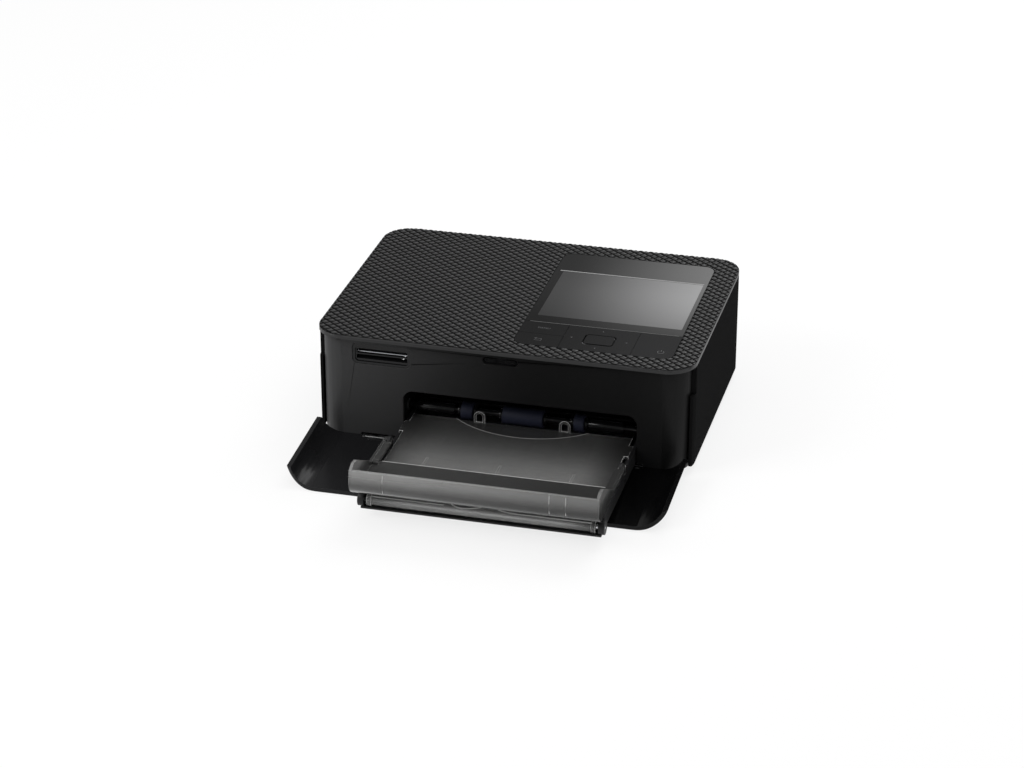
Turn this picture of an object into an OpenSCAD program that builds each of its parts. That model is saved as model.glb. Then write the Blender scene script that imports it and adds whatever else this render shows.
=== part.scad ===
// Compact dye-sublimation photo printer: front door open, paper cassette in place.
// Lengths are in millimetres. X runs to the right seen from the front, Y to the back, Z up.
// Inside framed() the front plane of the body is y = 0 and the table is z = 0.

/* [Body] */
// Width of the body across the front
body_w = 182.2; // [178:0.2:190]
// Depth of the body from front to back
body_d = 133; // [131:0.5:140]
// Height of the body on its feet
body_h = 57.6; // [57.2:0.1:60]
// Radius of the body's upright corners
corner_r = 14; // [10:0.5:18]
// Wall of the outer mouldings
wall = 2.2; // [1.8:0.1:2.4]
// Thickness of the top plate, seen as a bright rim over the front
top_t = 2.4; // [2:0.1:2.6]
// Height of the side panels' lower edge over the table
skirt_z = 4.5; // [4.2:0.1:5]
// Height of the rubber feet
foot_h = 3; // [2.6:0.1:3.2]
// Radius of the rubber feet
foot_r = 6; // [4:0.5:8]
// Gap between mouldings that sit inside each other
seat_gap = 0.1; // [0.05:0.05:0.2]

/* [Front face] */
// Length of the front cheeks left bare by the side panels
cheek_d = 9.4; // [8:0.2:11]
// Width of the paper mouth
mouth_w = 113; // [112.8:0.2:118]
// Height of the paper mouth's upper edge over the table
mouth_top = 30.6; // [29.5:0.2:33]
// Radius of the paper mouth's upper corners
mouth_r = 5; // [3:0.5:7]
// Sideways offset of the paper path from the middle of the body
paper_x = 9; // [8:0.5:10]
// Width of the memory card recess
card_w = 28.5; // [26:0.5:31]
// Height of the memory card recess
card_h = 10.5; // [9.5:0.25:11.5]
// Distance from the body's left side to the middle of the memory card recess
card_side = 33.35; // [31.1:0.25:35.1]
// Distance from the middle of the memory card recess to the top
card_drop = 9.9; // [9.1:0.1:10.6]
// Width of the latch recess
latch_w = 17; // [14:0.5:20]
// Height of the latch recess
latch_h = 3.6; // [3:0.2:4.4]
// Distance from the middle of the latch recess to the top
latch_drop = 6.5; // [5.6:0.1:7.6]
// Depth of the finger notches beside the front cheeks
notch_d = 3.4; // [2:0.2:5]
// Height of the finger notches
notch_h = 13.5; // [10:0.5:16]

/* [Front door] */
// Thickness of the door
door_t = 2; // [1.8:0.1:2.2]
// Angle between the closed door and the door as it lies open
door_open = 93.7; // [92:0.1:93.7]
// Height of the door's hinge line over the table
hinge_z = 4.3; // [4.3:0.1:4.5]
// Setback of the door's hinge line from the front plane
hinge_y = 1; // [0.8:0.1:1.1]
// Radius of the door's hinge pins
pin_r = 0.8; // [0.6:0.05:0.9]
// Outer end of the hinge pins, from the middle of the body
pin_out = 68; // [67.5:0.5:70]
// Radius of the wide curve at the door's free corners
door_corner_r = 27.4; // [24:0.2:32]

/* [Control panel] */
// Width of the glossy control panel
panel_w = 76; // [74:0.5:78]
// Distance from the control panel to the body's back
panel_back = 12; // [10.5:0.5:14.5]
// Distance from the control panel to the body's right side
panel_side = 11.85; // [11:0.25:13]
// Distance from the control panel to the front plane
panel_front = 11.5; // [11:0.25:12.5]
// Corner radius of the control panel
panel_r = 5.5; // [4:0.5:7]
// Depth of the row of keys
keys_d = 26; // [25:0.5:27]
// Width of the left block of keys
left_keys_w = 21.75; // [20:0.25:23]
// Width of the block round the centre key
middle_keys_w = 34.5; // [33:0.5:36]
// Width of the ring round the centre key
ring_w = 15.1; // [14:0.1:16]
// Depth of the ring round the centre key
ring_d = 11.2; // [10:0.1:12]
// Width of the picture area
screen_w = 70; // [68:0.5:71]
// Distance from the picture area to the control panel's back edge
screen_back = 22.4; // [21.2:0.2:24]
// Distance from the keys to the picture area
screen_front = 7.7; // [6.9:0.2:8.5]
// Gap round each key
key_gap = 0.2; // [0.15:0.05:0.3]
// Travel of the keys
key_travel = 0.4; // [0.2:0.1:0.4]
// Drop of the panel's face below the top
panel_drop = 0.15; // [0:0.05:0.3]

/* [Paper cassette] */
// Outer width of the cassette
tray_w = 112; // [111.6:0.2:112.2]
// Length of the cassette in front of the body
tray_out = 64; // [62:0.5:66]
// Length of the cassette inside the body
tray_in = 87.5; // [86:0.5:90]
// Height of the cassette's underside over the table
tray_z = 6.2; // [6.1:0.1:6.4]
// Height of the cassette's side walls
tray_h = 8.1; // [7.9:0.1:8.3]
// Wall of the cassette
tray_wall = 1.6; // [1.4:0.1:1.8]
// Thickness of the clear lids
lid_t = 1.3; // [1.1:0.1:1.4]
// Radius of the inner lid's hinge barrel
barrel_r = 2.6; // [2.4:0.1:2.7]
// Radius of the rod through the inner lid's barrel
rod_r = 1; // [0.8:0.1:1.2]
// Distance of the outer lid's pivot in front of the body
pivot_out = 25; // [24:0.5:27]
// Radius of the outer lid's pivot pins
pivot_r = 1.4; // [1.2:0.1:1.6]
// Outer radius of the scoop at the outer lid's front
scoop_r = 7.7; // [7:0.1:8.5]
// Height of the scoop's front edge over the outer lid's underside
scoop_h = 13.3; // [12:0.1:14.5]
// Distance from the pivot to the centre of the scoop's curve
scoop_reach = 49; // [47:0.5:51]
// Play of pins in their bores, on the radius
play = 0.07; // [0.04:0.01:0.09]

/* [Ribbon cover] */
// Length of the ribbon compartment cover
cover_l = 62; // [60:0.5:64]
// Distance from the ribbon compartment cover to the top plate
cover_drop = 5.2; // [3.6:0.2:7.2]
// Distance from the ribbon compartment cover to the front plane
cover_front = 36; // [35:0.5:38]
// Height of the ribbon compartment cover's lower edge
cover_z = 14; // [13.5:0.25:15]
// Gap round the ribbon compartment cover
cover_gap = 0.3; // [0.2:0.05:0.4]

/* [Print engine] */
// Height of the paper's path over the platen
path_z = 27; // [26.8:0.1:27.4]
// Radius of the platen roller
platen_r = 5; // [4.6:0.1:5.2]
// Distance of the platen's axis from the front plane
platen_y = 66; // [65:0.5:67]
// Radius of the drive roller
drive_r = 2.4; // [2:0.1:2.6]
// Distance of the drive roller's axis from the front plane
drive_y = 35; // [34.5:0.25:35.5]
// Radius of the pinch roller
pinch_r = 3; // [2.6:0.1:3.2]
// Radius of the pick-up tyres
pickup_r = 4.4; // [4:0.1:4.5]
// Distance of the pick-up roller's axis from the front plane
pickup_y = 14; // [13.8:0.1:14.6]
// Room between the ribbon cassette's barrels and the main board
ribbon_room = 4.8; // [4.4:0.2:6]
// Distance of each ribbon barrel's axis from the platen's axis
ribbon_reach = 16.6; // [16.4:0.1:17.2]
// Gear module: pitch diameter over number of teeth
gear_m = 0.8; // [0.78:0.01:0.81]
// Width of the gears' teeth
gear_w = 4; // [3:0.25:4.5]

/* [Hidden] */
$fn = 48;

// Colours of the plastics and metals
black_satin = [0.10, 0.10, 0.11];
black_gloss = [0.05, 0.05, 0.06];
black_matt = [0.14, 0.14, 0.15];
smoke_clear = [0.42, 0.42, 0.43, 0.55];
zinc_steel = [0.72, 0.73, 0.75];
bright_steel = [0.82, 0.83, 0.85];
roller_rubber = [0.16, 0.18, 0.26];
foot_rubber = [0.08, 0.08, 0.08];
gear_white = [0.88, 0.88, 0.84];
board_green = [0.10, 0.34, 0.22];
alloy = [0.66, 0.67, 0.69];
ribbon_black = [0.12, 0.12, 0.14];
ribbon_film = [0.75, 0.55, 0.12];

// Heights of the body
top_z = body_h - top_t;
floor_t = 1.4;
floor_z = foot_h + floor_t;
flange_t = 1.5;
flange_w = 7;
flange_z = skirt_z + flange_t;
face_inset = wall + seat_gap;
inner_inset = face_inset + wall;
floor_inset = inner_inset + seat_gap;
side_x = body_w/2;
back_y = body_d;

// Front face
card_x = card_side - side_x;
card_z = body_h - card_drop;
latch_z = body_h - latch_drop;
fascia_z = hinge_z - 0.7;
fascia_tuck = 5;
pin_gap_z = 6.3;
fascia_cut_x = pin_out + 0.6;
lip_h = 3;
lip_t = 1.6;

// Door
door_bottom = hinge_z - 1;
door_top = top_z - 0.1;
door_back = cheek_d - 0.5;
door_flat = side_x - 17.1;
knuckle_r = 1.5;
knuckle_w = 3;
knuckle_out = pin_out - 0.7;
lug_out = knuckle_out - knuckle_w - 0.3;
pin_in = lug_out - knuckle_w;

// Control panel
panel_x1 = side_x - panel_side;
panel_x0 = panel_x1 - panel_w;
panel_y0 = panel_front;
panel_d = body_d - panel_front - panel_back;
panel_y1 = panel_y0 + panel_d;
keys_y1 = panel_y0 + keys_d;
left_x1 = panel_x0 + left_keys_w;
middle_x1 = left_x1 + middle_keys_w;
middle_x = (left_x1 + middle_x1)/2;
key_top = body_h - panel_drop;
key_t = 1.5;
key_z = key_top - key_t;
screen_x = (panel_x0 + panel_x1)/2 + 1;
screen_y1 = panel_y1 - screen_back;
screen_y0 = keys_y1 + screen_front;
frame_t = 1.2;
frame_z1 = top_z - seat_gap;
frame_z0 = frame_z1 - frame_t;
board_t = 1.2;
board_z = frame_z0 - 2.4;
stem_z = board_z + board_t + 0.5;
screw_r = 0.95;
screw_hole_r = 1;

// Paper cassette
tray_x0 = paper_x - tray_w/2;
tray_x1 = paper_x + tray_w/2;
tray_top = tray_z + tray_h;
rod_y = -(tray_out + 2.6);
rod_z = tray_z + 0.2 + barrel_r;
lid_z0 = tray_top + 0.2;
lid_z1 = lid_z0 + lid_t;
lid_back = 9.3;
lid_hw = tray_w/2 - tray_wall - 1.2;
pivot_y = -pivot_out;
outer_gap = 0.9;
outer_z0 = lid_z1 + outer_gap;
outer_z1 = outer_z0 + lid_t;
pivot_z = outer_z0 + 0.4;
outer_hw = tray_w/2 + 0.2 + lid_t;
roof_z = tray_top - 1;
roof_y = 33;
pickup_z = roof_z + 0.5 + pickup_r;

// Main board, and the sockets on its rear edge
board_under = card_z + 2.9;
pcb_t = 1.6;
pcb_top = board_under + pcb_t;
inlet_z = board_under - 9.6;
usb_z = board_under - 4.3;
vent_z = board_under - 7.6;

// Ribbon compartment
cover_h = top_z - cover_drop - cover_z;
ribbon_lift = 1.6;
ribbon_r = (board_under - ribbon_room - path_z - ribbon_lift)/2;
ribbon_z = path_z + ribbon_r + ribbon_lift;
takeup_y = platen_y - ribbon_reach;
supply_y = platen_y + ribbon_reach;
cover_y1 = cover_front + cover_l;
cover_axis_y = cover_y1 - wall/2 - cover_gap;
cover_axis_x = -side_x + wall/2;

// Print engine, between two side plates on either side of the cassette
plate_t = 1.2;
plate_x0 = tray_x0 - 1.2 - plate_t;
plate_x1 = tray_x1 + 1.8;
plate_out = plate_x1 + plate_t;
plate_y0 = 7;
plate_y1 = 108;
plate_top = top_z - 6.6;
plate_front_h = 30;
shaft_r = 1.5;
bush_r = 3;
platen_z = path_z - platen_r;
drive_z = path_z - drive_r;
pinch_z = path_z + 0.3 + pinch_r;
gear_x0 = plate_out + 1.4;
platen_teeth = 24;
idler_teeth = 20;
drive_teeth = 16;
motor_teeth = 12;
backlash = 0.16;
motor_r = 7.5;
motor_room = 1.6;
motor_shaft_r = 1;
bracket_t = 1;
bracket_x1 = gear_x0 + gear_w + 1.9;
motor_l = side_x - wall - motor_room - bracket_x1;
motor_boss_r = 2.4;

// Rollers, ribbon and head are a little narrower than the cassette
platen_hw = tray_w/2 - 4;
drive_hw = tray_w/2 - 5;
pinch_hw = tray_w/2 - 6;

// Idler: meshes with the platen's gear and the drive roller's gear
gear_span = norm([platen_y - drive_y, platen_z - drive_z]);
platen_to_idler = gear_m*(platen_teeth + idler_teeth)/2;
drive_to_idler = gear_m*(drive_teeth + idler_teeth)/2;
gear_cos = (pow(platen_to_idler, 2) + pow(gear_span, 2) - pow(drive_to_idler, 2))
    / (2*platen_to_idler*gear_span);
line_angle = atan2(drive_z - platen_z, drive_y - platen_y);
idler_angle = line_angle - acos(gear_cos);
idler_y = platen_y + platen_to_idler*cos(idler_angle);
idler_z = platen_z + platen_to_idler*sin(idler_angle);
motor_angle = 62;
platen_to_motor = gear_m*(platen_teeth + motor_teeth)/2;
motor_y = platen_y + platen_to_motor*cos(motor_angle);
motor_z = platen_z + platen_to_motor*sin(motor_angle);

// The row's origin stands under the middle of everything: body, door and cassette
reach_y = -pivot_y + scoop_reach + scoop_r;
mid_y = (body_d - reach_y)/2;

module framed() {
    translate([0, -mid_y, 0]) children();
}

// Box between two opposite corners
module block(low, high) {
    translate(low) cube(high - low);
}

// Round bar along X
module bar_x(x0, x1, y, z, r) {
    translate([x0, y, z]) rotate([0, 90, 0]) cylinder(r=r, h=x1 - x0);
}

// Round bar along Y
module bar_y(y0, y1, x, z, r) {
    translate([x, y1, z]) rotate([90, 0, 0]) cylinder(r=r, h=y1 - y0);
}

module round_rect(w, d, r) {
    square([w - 2*r, d], center=true);
    square([w, d - 2*r], center=true);
    for (x = [-1, 1], y = [-1, 1]) translate([x*(w/2 - r), y*(d/2 - r)]) circle(r);
}

module body_outline(inset) {
    translate([0, body_d/2]) round_rect(body_w - 2*inset, body_d - 2*inset, corner_r - inset);
}

module layer(z0, z1) {
    translate([0, 0, z0]) linear_extrude(z1 - z0) children();
}

// Plate with round corners in the XZ plane, from y0 to y1
module face_plate(x, z, w, h, r, y0, y1) {
    translate([x, y1, z]) rotate([90, 0, 0]) linear_extrude(y1 - y0) round_rect(w, h, r);
}

// Outline drawn in (y, z), made solid from x0 to x1
module side_profile(x0, x1) {
    translate([x0, 0, 0]) rotate([90, 0, 90]) linear_extrude(x1 - x0) children();
}

// Ring of wall between two insets, from z0 to z1
module body_wall(inset, t, z0, z1) {
    layer(z0, z1) difference() {
        body_outline(inset);
        body_outline(inset + t);
    }
}

// Places of the four corner bosses and screws
boss_x = side_x - 10.5;
boss_front = 22;
boss_back = body_d - 12;
boss_r = 3;
boss_top = flange_z + 22;
web_t = 1.6;
module at_bosses() {
    for (x = [-1, 1], y = [boss_front, boss_back]) translate([x*boss_x, y, 0]) children();
}

// ---- outer mouldings ----

module main_shell() framed() color(black_satin) difference() {
    union() {
        body_wall(0, wall, skirt_z, top_z);
        body_wall(wall, flange_w - wall, skirt_z, flange_z);
        at_bosses() layer(skirt_z, boss_top) circle(boss_r);
        boss_webs();
    }
    block([-side_x - 1, -1, 0], [side_x + 1, cheek_d, body_h]);
    // room for the fascia inside the flange
    block([-side_x + wall, -1, 0], [side_x - wall, cheek_d + fascia_tuck + seat_gap, body_h]);
    finger_notches();
    at_bosses() layer(skirt_z - 1, boss_top - 4) circle(screw_hole_r);
    side_profile(-side_x - 1, -side_x + wall + 1) ribbon_outline(0);
    cover_pin_bores();
    rear_openings();
}

// Webs tie the bosses to the side walls
module boss_webs() {
    for (s = [-1, 1], y = [boss_front, boss_back])
        mirror([s < 0 ? 1 : 0, 0, 0])
            block([boss_x, y - web_t/2, skirt_z], [side_x - wall/2, y + web_t/2, boss_top]);
}

// Finger notches open into the front edge of both side panels
module finger_notches() {
    notch_top = top_z - 0.8;
    for (x = [-1, 1])
        translate([x*side_x, 0, 0])
            block([-wall - 0.05, cheek_d - 1, notch_top - notch_h], [wall, cheek_d + notch_d, notch_top]);
}

// Outline of the ribbon compartment in (y, z), round at its front corners
module ribbon_outline(gap) {
    translate([cover_front + cover_l/2, cover_z + cover_h/2]) {
        round_rect(cover_l - 2*gap, cover_h - 2*gap, 2.5 - gap);
        translate([0, gap - cover_h/2]) square([cover_l/2 - gap, cover_h - 2*gap]);
    }
}

module cover_pin_bores() {
    translate([cover_axis_x, cover_axis_y, cover_z - 3]) cylinder(r=0.6, h=cover_h + 6);
}

// Paper slot, cooling slots and sockets in the back wall
slot_w = 104;
slot_h = 8;
inlet_x = 25.1 - side_x;
usb_x = 45.1 - side_x;
module rear_openings() {
    face_plate(paper_x, path_z, slot_w, slot_h, 2.5, back_y - wall - 1, back_y + 1);
    for (i = [0:8])
        face_plate(paper_x - 32 + 8*i, vent_z, 5, 8, 0.9, back_y - wall - 1, back_y + 1);
    bar_y(back_y - wall - 1, back_y + 1, inlet_x, inlet_z, 4.2);
    face_plate(usb_x, usb_z, 9.6, 3.8, 1.6, back_y - wall - 1, back_y + 1);
}

module top_cover() framed() color(black_satin) difference() {
    union() {
        layer(top_z, body_h) body_outline(0);
        difference() {
            body_wall(face_inset, lip_t, top_z - lip_h, top_z + 0.1);
            block([-side_x, -1, 0], [side_x, cheek_d + fascia_tuck + 2, body_h]);
            // the lip stops at the ribbon compartment's cover
            block([-side_x, cover_front - 2, 0], [-side_x + 8, cover_y1 + 2, top_z]);
        }
    }
    layer(top_z - lip_h - 1, body_h + 1) panel_outline(-key_gap);
    at_panel_screws() layer(top_z - 1, top_z + 1.5) circle(screw_hole_r);
}

// Outline of the whole control panel, drawn inwards by gap
module panel_outline(gap) {
    translate([(panel_x0 + panel_x1)/2, (panel_y0 + panel_y1)/2])
        round_rect(panel_w - 2*gap, panel_d - 2*gap, panel_r - gap);
}

module fascia() framed() color(black_satin) difference() {
    body_wall(face_inset, wall, fascia_z, top_z);
    block([-side_x, cheek_d + fascia_tuck, 0], [side_x, back_y + 1, body_h]);
    // low edge between the hinge pins
    block([-fascia_cut_x, -1, 0], [fascia_cut_x, inner_inset + 1, pin_gap_z]);
    mouth_cut();
    face_plate(card_x, card_z, card_w, card_h, 2.5, 0, inner_inset + 1);
    face_plate(0, latch_z, latch_w, latch_h, latch_h/2 - 0.02, 0, inner_inset + 1);
}

// Paper mouth: round at the top, open at the bottom
module mouth_cut() {
    face_plate(paper_x, mouth_top/2, mouth_w, mouth_top, mouth_r, 0, inner_inset + 1);
    block([paper_x - mouth_w/2, 0, 0], [paper_x + mouth_w/2, inner_inset + 1, mouth_r + 2]);
}

module bottom_cover() framed() color(black_matt) difference() {
    union() {
        layer(foot_h, floor_z) body_outline(floor_inset);
        // rails beside the cassette
        for (x = [tray_x0 - 1.1, tray_x1 + 0.1]) block([x, 7, foot_h], [x + 1, tray_in, tray_z + 1]);
        hinge_lugs();
    }
    at_bosses() layer(foot_h - 1, floor_z + 1) circle(screw_hole_r + 0.25);
    at_bosses() layer(foot_h - 1, foot_h + 0.8) circle(2.2);
    at_feet() layer(foot_h - 1, foot_h + 0.4) circle(foot_r + seat_gap);
    for (i = [0:9]) block([-74 + 3*i, 88, 0], [-72.6 + 3*i, 112, floor_z + 1]);
}

// Two lugs in front of the floor carry the door's pins
module hinge_lugs() {
    for (s = [-1, 1])
        mirror([s < 0 ? 1 : 0, 0, 0]) difference() {
            union() {
                bar_x(pin_in, lug_out, hinge_y, hinge_z, knuckle_r);
                block([pin_in, hinge_y, foot_h], [lug_out, floor_inset + 0.5, floor_z]);
            }
            bar_x(pin_in - 1, lug_out + 1, hinge_y, hinge_z, pin_r);
        }
}

foot_x = side_x - 21;
foot_front = 17;
foot_back = body_d - 17;
module at_feet() {
    for (x = [-1, 1], y = [foot_front, foot_back]) translate([x*foot_x, y, 0]) children();
}

module feet() framed() color(foot_rubber) at_feet() {
    layer(0.6, foot_h + 0.4) circle(foot_r);
    layer(0, 0.6) circle(foot_r - 0.6);
}

// Four screws hold the floor to the shell's bosses
module cover_screws() framed() color(zinc_steel) at_bosses() {
    difference() {
        layer(foot_h + 0.1, foot_h + 0.8) circle(2.1);
        layer(foot_h - 1, foot_h + 0.5) square([2.6, 0.6], center=true);
        layer(foot_h - 1, foot_h + 0.5) square([0.6, 2.6], center=true);
    }
    layer(foot_h + 0.8, flange_z + 8) circle(screw_r);
}

card_hw = card_w/2 - 1.85;
socket_back = 36;
// Sloping ramp under the slit
ramp_from = 1.6;
ramp_drop = 3.6;
ramp_d = 6;
ramp_t = 2.6;
module card_slot_frame() framed() color(black_gloss) difference() {
    union() {
        face_plate(card_x, card_z, card_w - 0.2, card_h - 0.2, 2.4, face_inset + 0.5, inner_inset);
        face_plate(card_x, card_z, card_w + 2, card_h + 2, 3, inner_inset + 0.05, inner_inset + 1.2);
    }
    // card slit over a sloping lip
    block([card_x - card_hw, 0, card_z - 0.1], [card_x + card_hw, 20, card_z + 2.3]);
    translate([card_x - card_hw, face_inset + ramp_from, card_z - ramp_drop]) rotate([35, 0, 0])
        cube([2*card_hw, ramp_d, ramp_t]);
    face_plate(card_x, card_z - 0.4, card_w - 2.4, card_h - 3, 1.6, 0, face_inset + 1.1);
}

module card_socket() framed() color(zinc_steel) difference() {
    block([card_x - card_hw - wall, inner_inset + 1.4, card_z - 0.7],
        [card_x + card_hw + wall, socket_back, board_under]);
    block([card_x - card_hw, 0, card_z - 0.1], [card_x + card_hw, socket_back - 3, card_z + 2.3]);
}

// Magnets behind the slot at the top of the face hold the closed door
module latch_catch() framed() color(black_gloss) {
    face_plate(0, latch_z, latch_w - 0.2, latch_h - 0.2, latch_h/2 - 0.12,
        face_inset + 1.6, inner_inset + 0.4);
    for (x = [-5, 4.6]) face_plate(x, latch_z, 5.4, 2.2, 1, face_inset + 0.9, face_inset + 1.6);
}

// ---- front door ----

// Carries the closed door to the place where it lies open
module opened_door() {
    translate([0, hinge_y, hinge_z]) rotate([door_open, 0, 0]) translate([0, -hinge_y, -hinge_z])
        children();
}

module door() framed() color(black_gloss) opened_door() difference() {
    union() {
        intersection() {
            body_wall(0, door_t, door_bottom, door_top);
            translate([0, door_back, 0]) rotate([90, 0, 0]) linear_extrude(door_back + 1) door_outline();
        }
        for (x = [-knuckle_out, knuckle_out - knuckle_w])
            bar_x(x, x + knuckle_w, hinge_y, hinge_z, knuckle_r);
    }
    // room for the floor's lugs
    for (x = [-lug_out - 0.3, pin_in - 0.3])
        block([x, -2, 0], [x + knuckle_w + 0.6, door_t + 2, hinge_z + 3.2]);
    for (x = [-side_x, pin_in - 0.3]) bar_x(x, x + side_x, hinge_y, hinge_z, pin_r + play);
}

// Closed door seen from the front: its upper corners fall away in a wide curve
module door_outline() intersection() {
    translate([-side_x - 0.1, 0]) square([body_w + 0.2, body_h]);
    union() {
        translate([-door_flat, 0]) square([2*door_flat, door_top]);
        for (s = [-1, 1]) translate([s*door_flat, door_top - door_corner_r]) circle(door_corner_r);
        translate([-side_x - 0.1, 0]) square([body_w + 0.2, door_top - door_corner_r]);
    }
}

module door_pins() framed() color(bright_steel)
    for (x = [-pin_out, pin_in]) bar_x(x, x + pin_out - pin_in, hinge_y, hinge_z, pin_r);

// ---- control panel ----

// Frame under the top: it carries the window, the keys and the screen
module panel_frame() framed() color(black_matt) difference() {
    layer(frame_z0, frame_z1) translate([(panel_x0 + panel_x1)/2, (panel_y0 + panel_y1)/2])
        round_rect(panel_w + 9, panel_d + 6.6, panel_r);
    at_panel_screws() layer(frame_z0 - 1, frame_z1 + 1) circle(screw_hole_r + 0.1);
    block([screen_x - screen_w/2, screen_y0, frame_z0 - 1], [screen_x + screen_w/2, screen_y1, frame_z1 + 1]);
    for (p = key_middles) translate([p[0], p[1], frame_z0 - 1]) cylinder(r=stem_r + 0.3, h=frame_t + 2);
}

module at_panel_screws() {
    for (x = [panel_x0 - 2.4, panel_x1 + 2.4], y = [panel_y0 + 9, panel_y1 - 9])
        translate([x, y, 0]) children();
}

module panel_screws() framed() color(zinc_steel) at_panel_screws() {
    layer(frame_z0 - 1, frame_z0) circle(1.9);
    layer(frame_z0, top_z + 1.3) circle(screw_r);
}

module display_window() framed() color(black_gloss) layer(frame_z1, key_top) intersection() {
    panel_outline(0);
    translate([panel_x0 - 1, keys_y1 + key_gap/2]) square([panel_w + 2, panel_d]);
}

// Edges of the module's case beyond the picture, and its depth
case_left = 3;
case_right = 1.5;
case_front = 5;
case_back = 2.5;
case_t = 3.2;
module screen_module() framed() color(black_matt) {
    block([screen_x - screen_w/2 - case_left, screen_y0 - case_front, frame_z0 - case_t],
        [screen_x + screen_w/2 + case_right, screen_y1 + case_back, frame_z0 - 0.1]);
    block([screen_x - screen_w/2 + 0.3, screen_y0 + 0.3, frame_z0 - 0.1],
        [screen_x + screen_w/2 - 0.3, screen_y1 - 0.3, frame_z1 - 0.1]);
}

// Middles of the five keys' stems: menu, back, direction, centre, power
stem_r = 1.6;
menu_y = panel_y0 + keys_d*0.76;
back_key_y = panel_y0 + keys_d*0.26;
ring_y = panel_y0 + keys_d*0.48;
key_middles = [
    [panel_x0 + left_keys_w/2, menu_y],
    [panel_x0 + left_keys_w/2, back_key_y],
    [middle_x - middle_keys_w/2 + 4.6, ring_y],
    [middle_x, ring_y],
    [(middle_x1 + panel_x1)/2, ring_y],
    [middle_x + middle_keys_w/2 - 4.6, ring_y]];

module key_board() framed() color(board_green) {
    block([panel_x0 + 1, panel_y0 + 1, board_z], [panel_x1 - 1, screen_y0 - 6, board_z + board_t]);
    for (p = key_middles) translate([p[0], p[1], board_z + board_t]) cylinder(r=2, h=0.4 - 0.3);
}

// A key: the part of the panel between two x and two y values, and its stem
module key(x0, x1, y0, y1, stems) {
    layer(key_z, key_top) intersection() {
        panel_outline(0);
        translate([x0, y0]) square([x1 - x0, y1 - y0]);
    }
    for (i = stems) translate([key_middles[i][0], key_middles[i][1], stem_z])
        cylinder(r=stem_r, h=key_z - stem_z + 0.1);
}

module menu_key() framed() color(black_gloss)
    key(panel_x0, left_x1 - key_gap/2, panel_y0 + keys_d/2 + key_gap/2, keys_y1 - key_gap/2, [0]);

module back_key() framed() color(black_gloss)
    key(panel_x0, left_x1 - key_gap/2, panel_y0, panel_y0 + keys_d/2 - key_gap/2, [1]);

module direction_key() framed() color(black_gloss) difference() {
    key(left_x1 + key_gap/2, middle_x1 - key_gap/2, panel_y0, keys_y1 - key_gap/2, [2, 5]);
    layer(key_z - 1, key_top + 1) translate([middle_x, ring_y]) round_rect(ring_w, ring_d, 2.2);
}

// The centre key stands inside the ring, with a groove all round
module centre_key() framed() color(black_gloss) {
    layer(key_z, key_top + 0.1) translate([middle_x, ring_y]) round_rect(ring_w - 1.6, ring_d - 1.6, 1.5);
    layer(key_z, key_top - 0.7) translate([middle_x, ring_y]) round_rect(ring_w - 0.4, ring_d - 0.4, 2);
    translate([middle_x, ring_y, stem_z]) cylinder(r=stem_r, h=key_z - stem_z + 0.1);
}

module power_key() framed() color(black_gloss)
    key(middle_x1 + key_gap/2, panel_x1, panel_y0, keys_y1 - key_gap/2, [4]);

// ---- ribbon compartment cover ----

module ribbon_cover() framed() color(black_satin) difference() {
    union() {
        difference() {
            side_profile(-side_x, -side_x + wall) ribbon_outline(cover_gap);
            block([-side_x - 1, cover_axis_y, 0], [-side_x + wall + 1, cover_y1, body_h]);
        }
        translate([cover_axis_x, cover_axis_y, cover_z + cover_gap])
            cylinder(r=wall/2, h=cover_h - 2*cover_gap);
    }
    translate([cover_axis_x, cover_axis_y, cover_z - 3]) cylinder(r=0.6 + play, h=cover_h + 6);
    // finger scoop at the free edge
    translate([-side_x - 4.6, cover_front + cover_gap, cover_z + cover_h/2 - 7]) cylinder(r=6, h=14);
}

module ribbon_cover_pins() framed() color(bright_steel)
    for (z = [cover_z - 2.8, cover_z + cover_h - 5])
        translate([cover_axis_x, cover_axis_y, z]) cylinder(r=0.6, h=7.8);

// ---- paper cassette ----

knuckle_hw = tray_w/2 + 1.4;
ring_r = barrel_r + 0.5;
rod_knuckle_r = 3.4;

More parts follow.
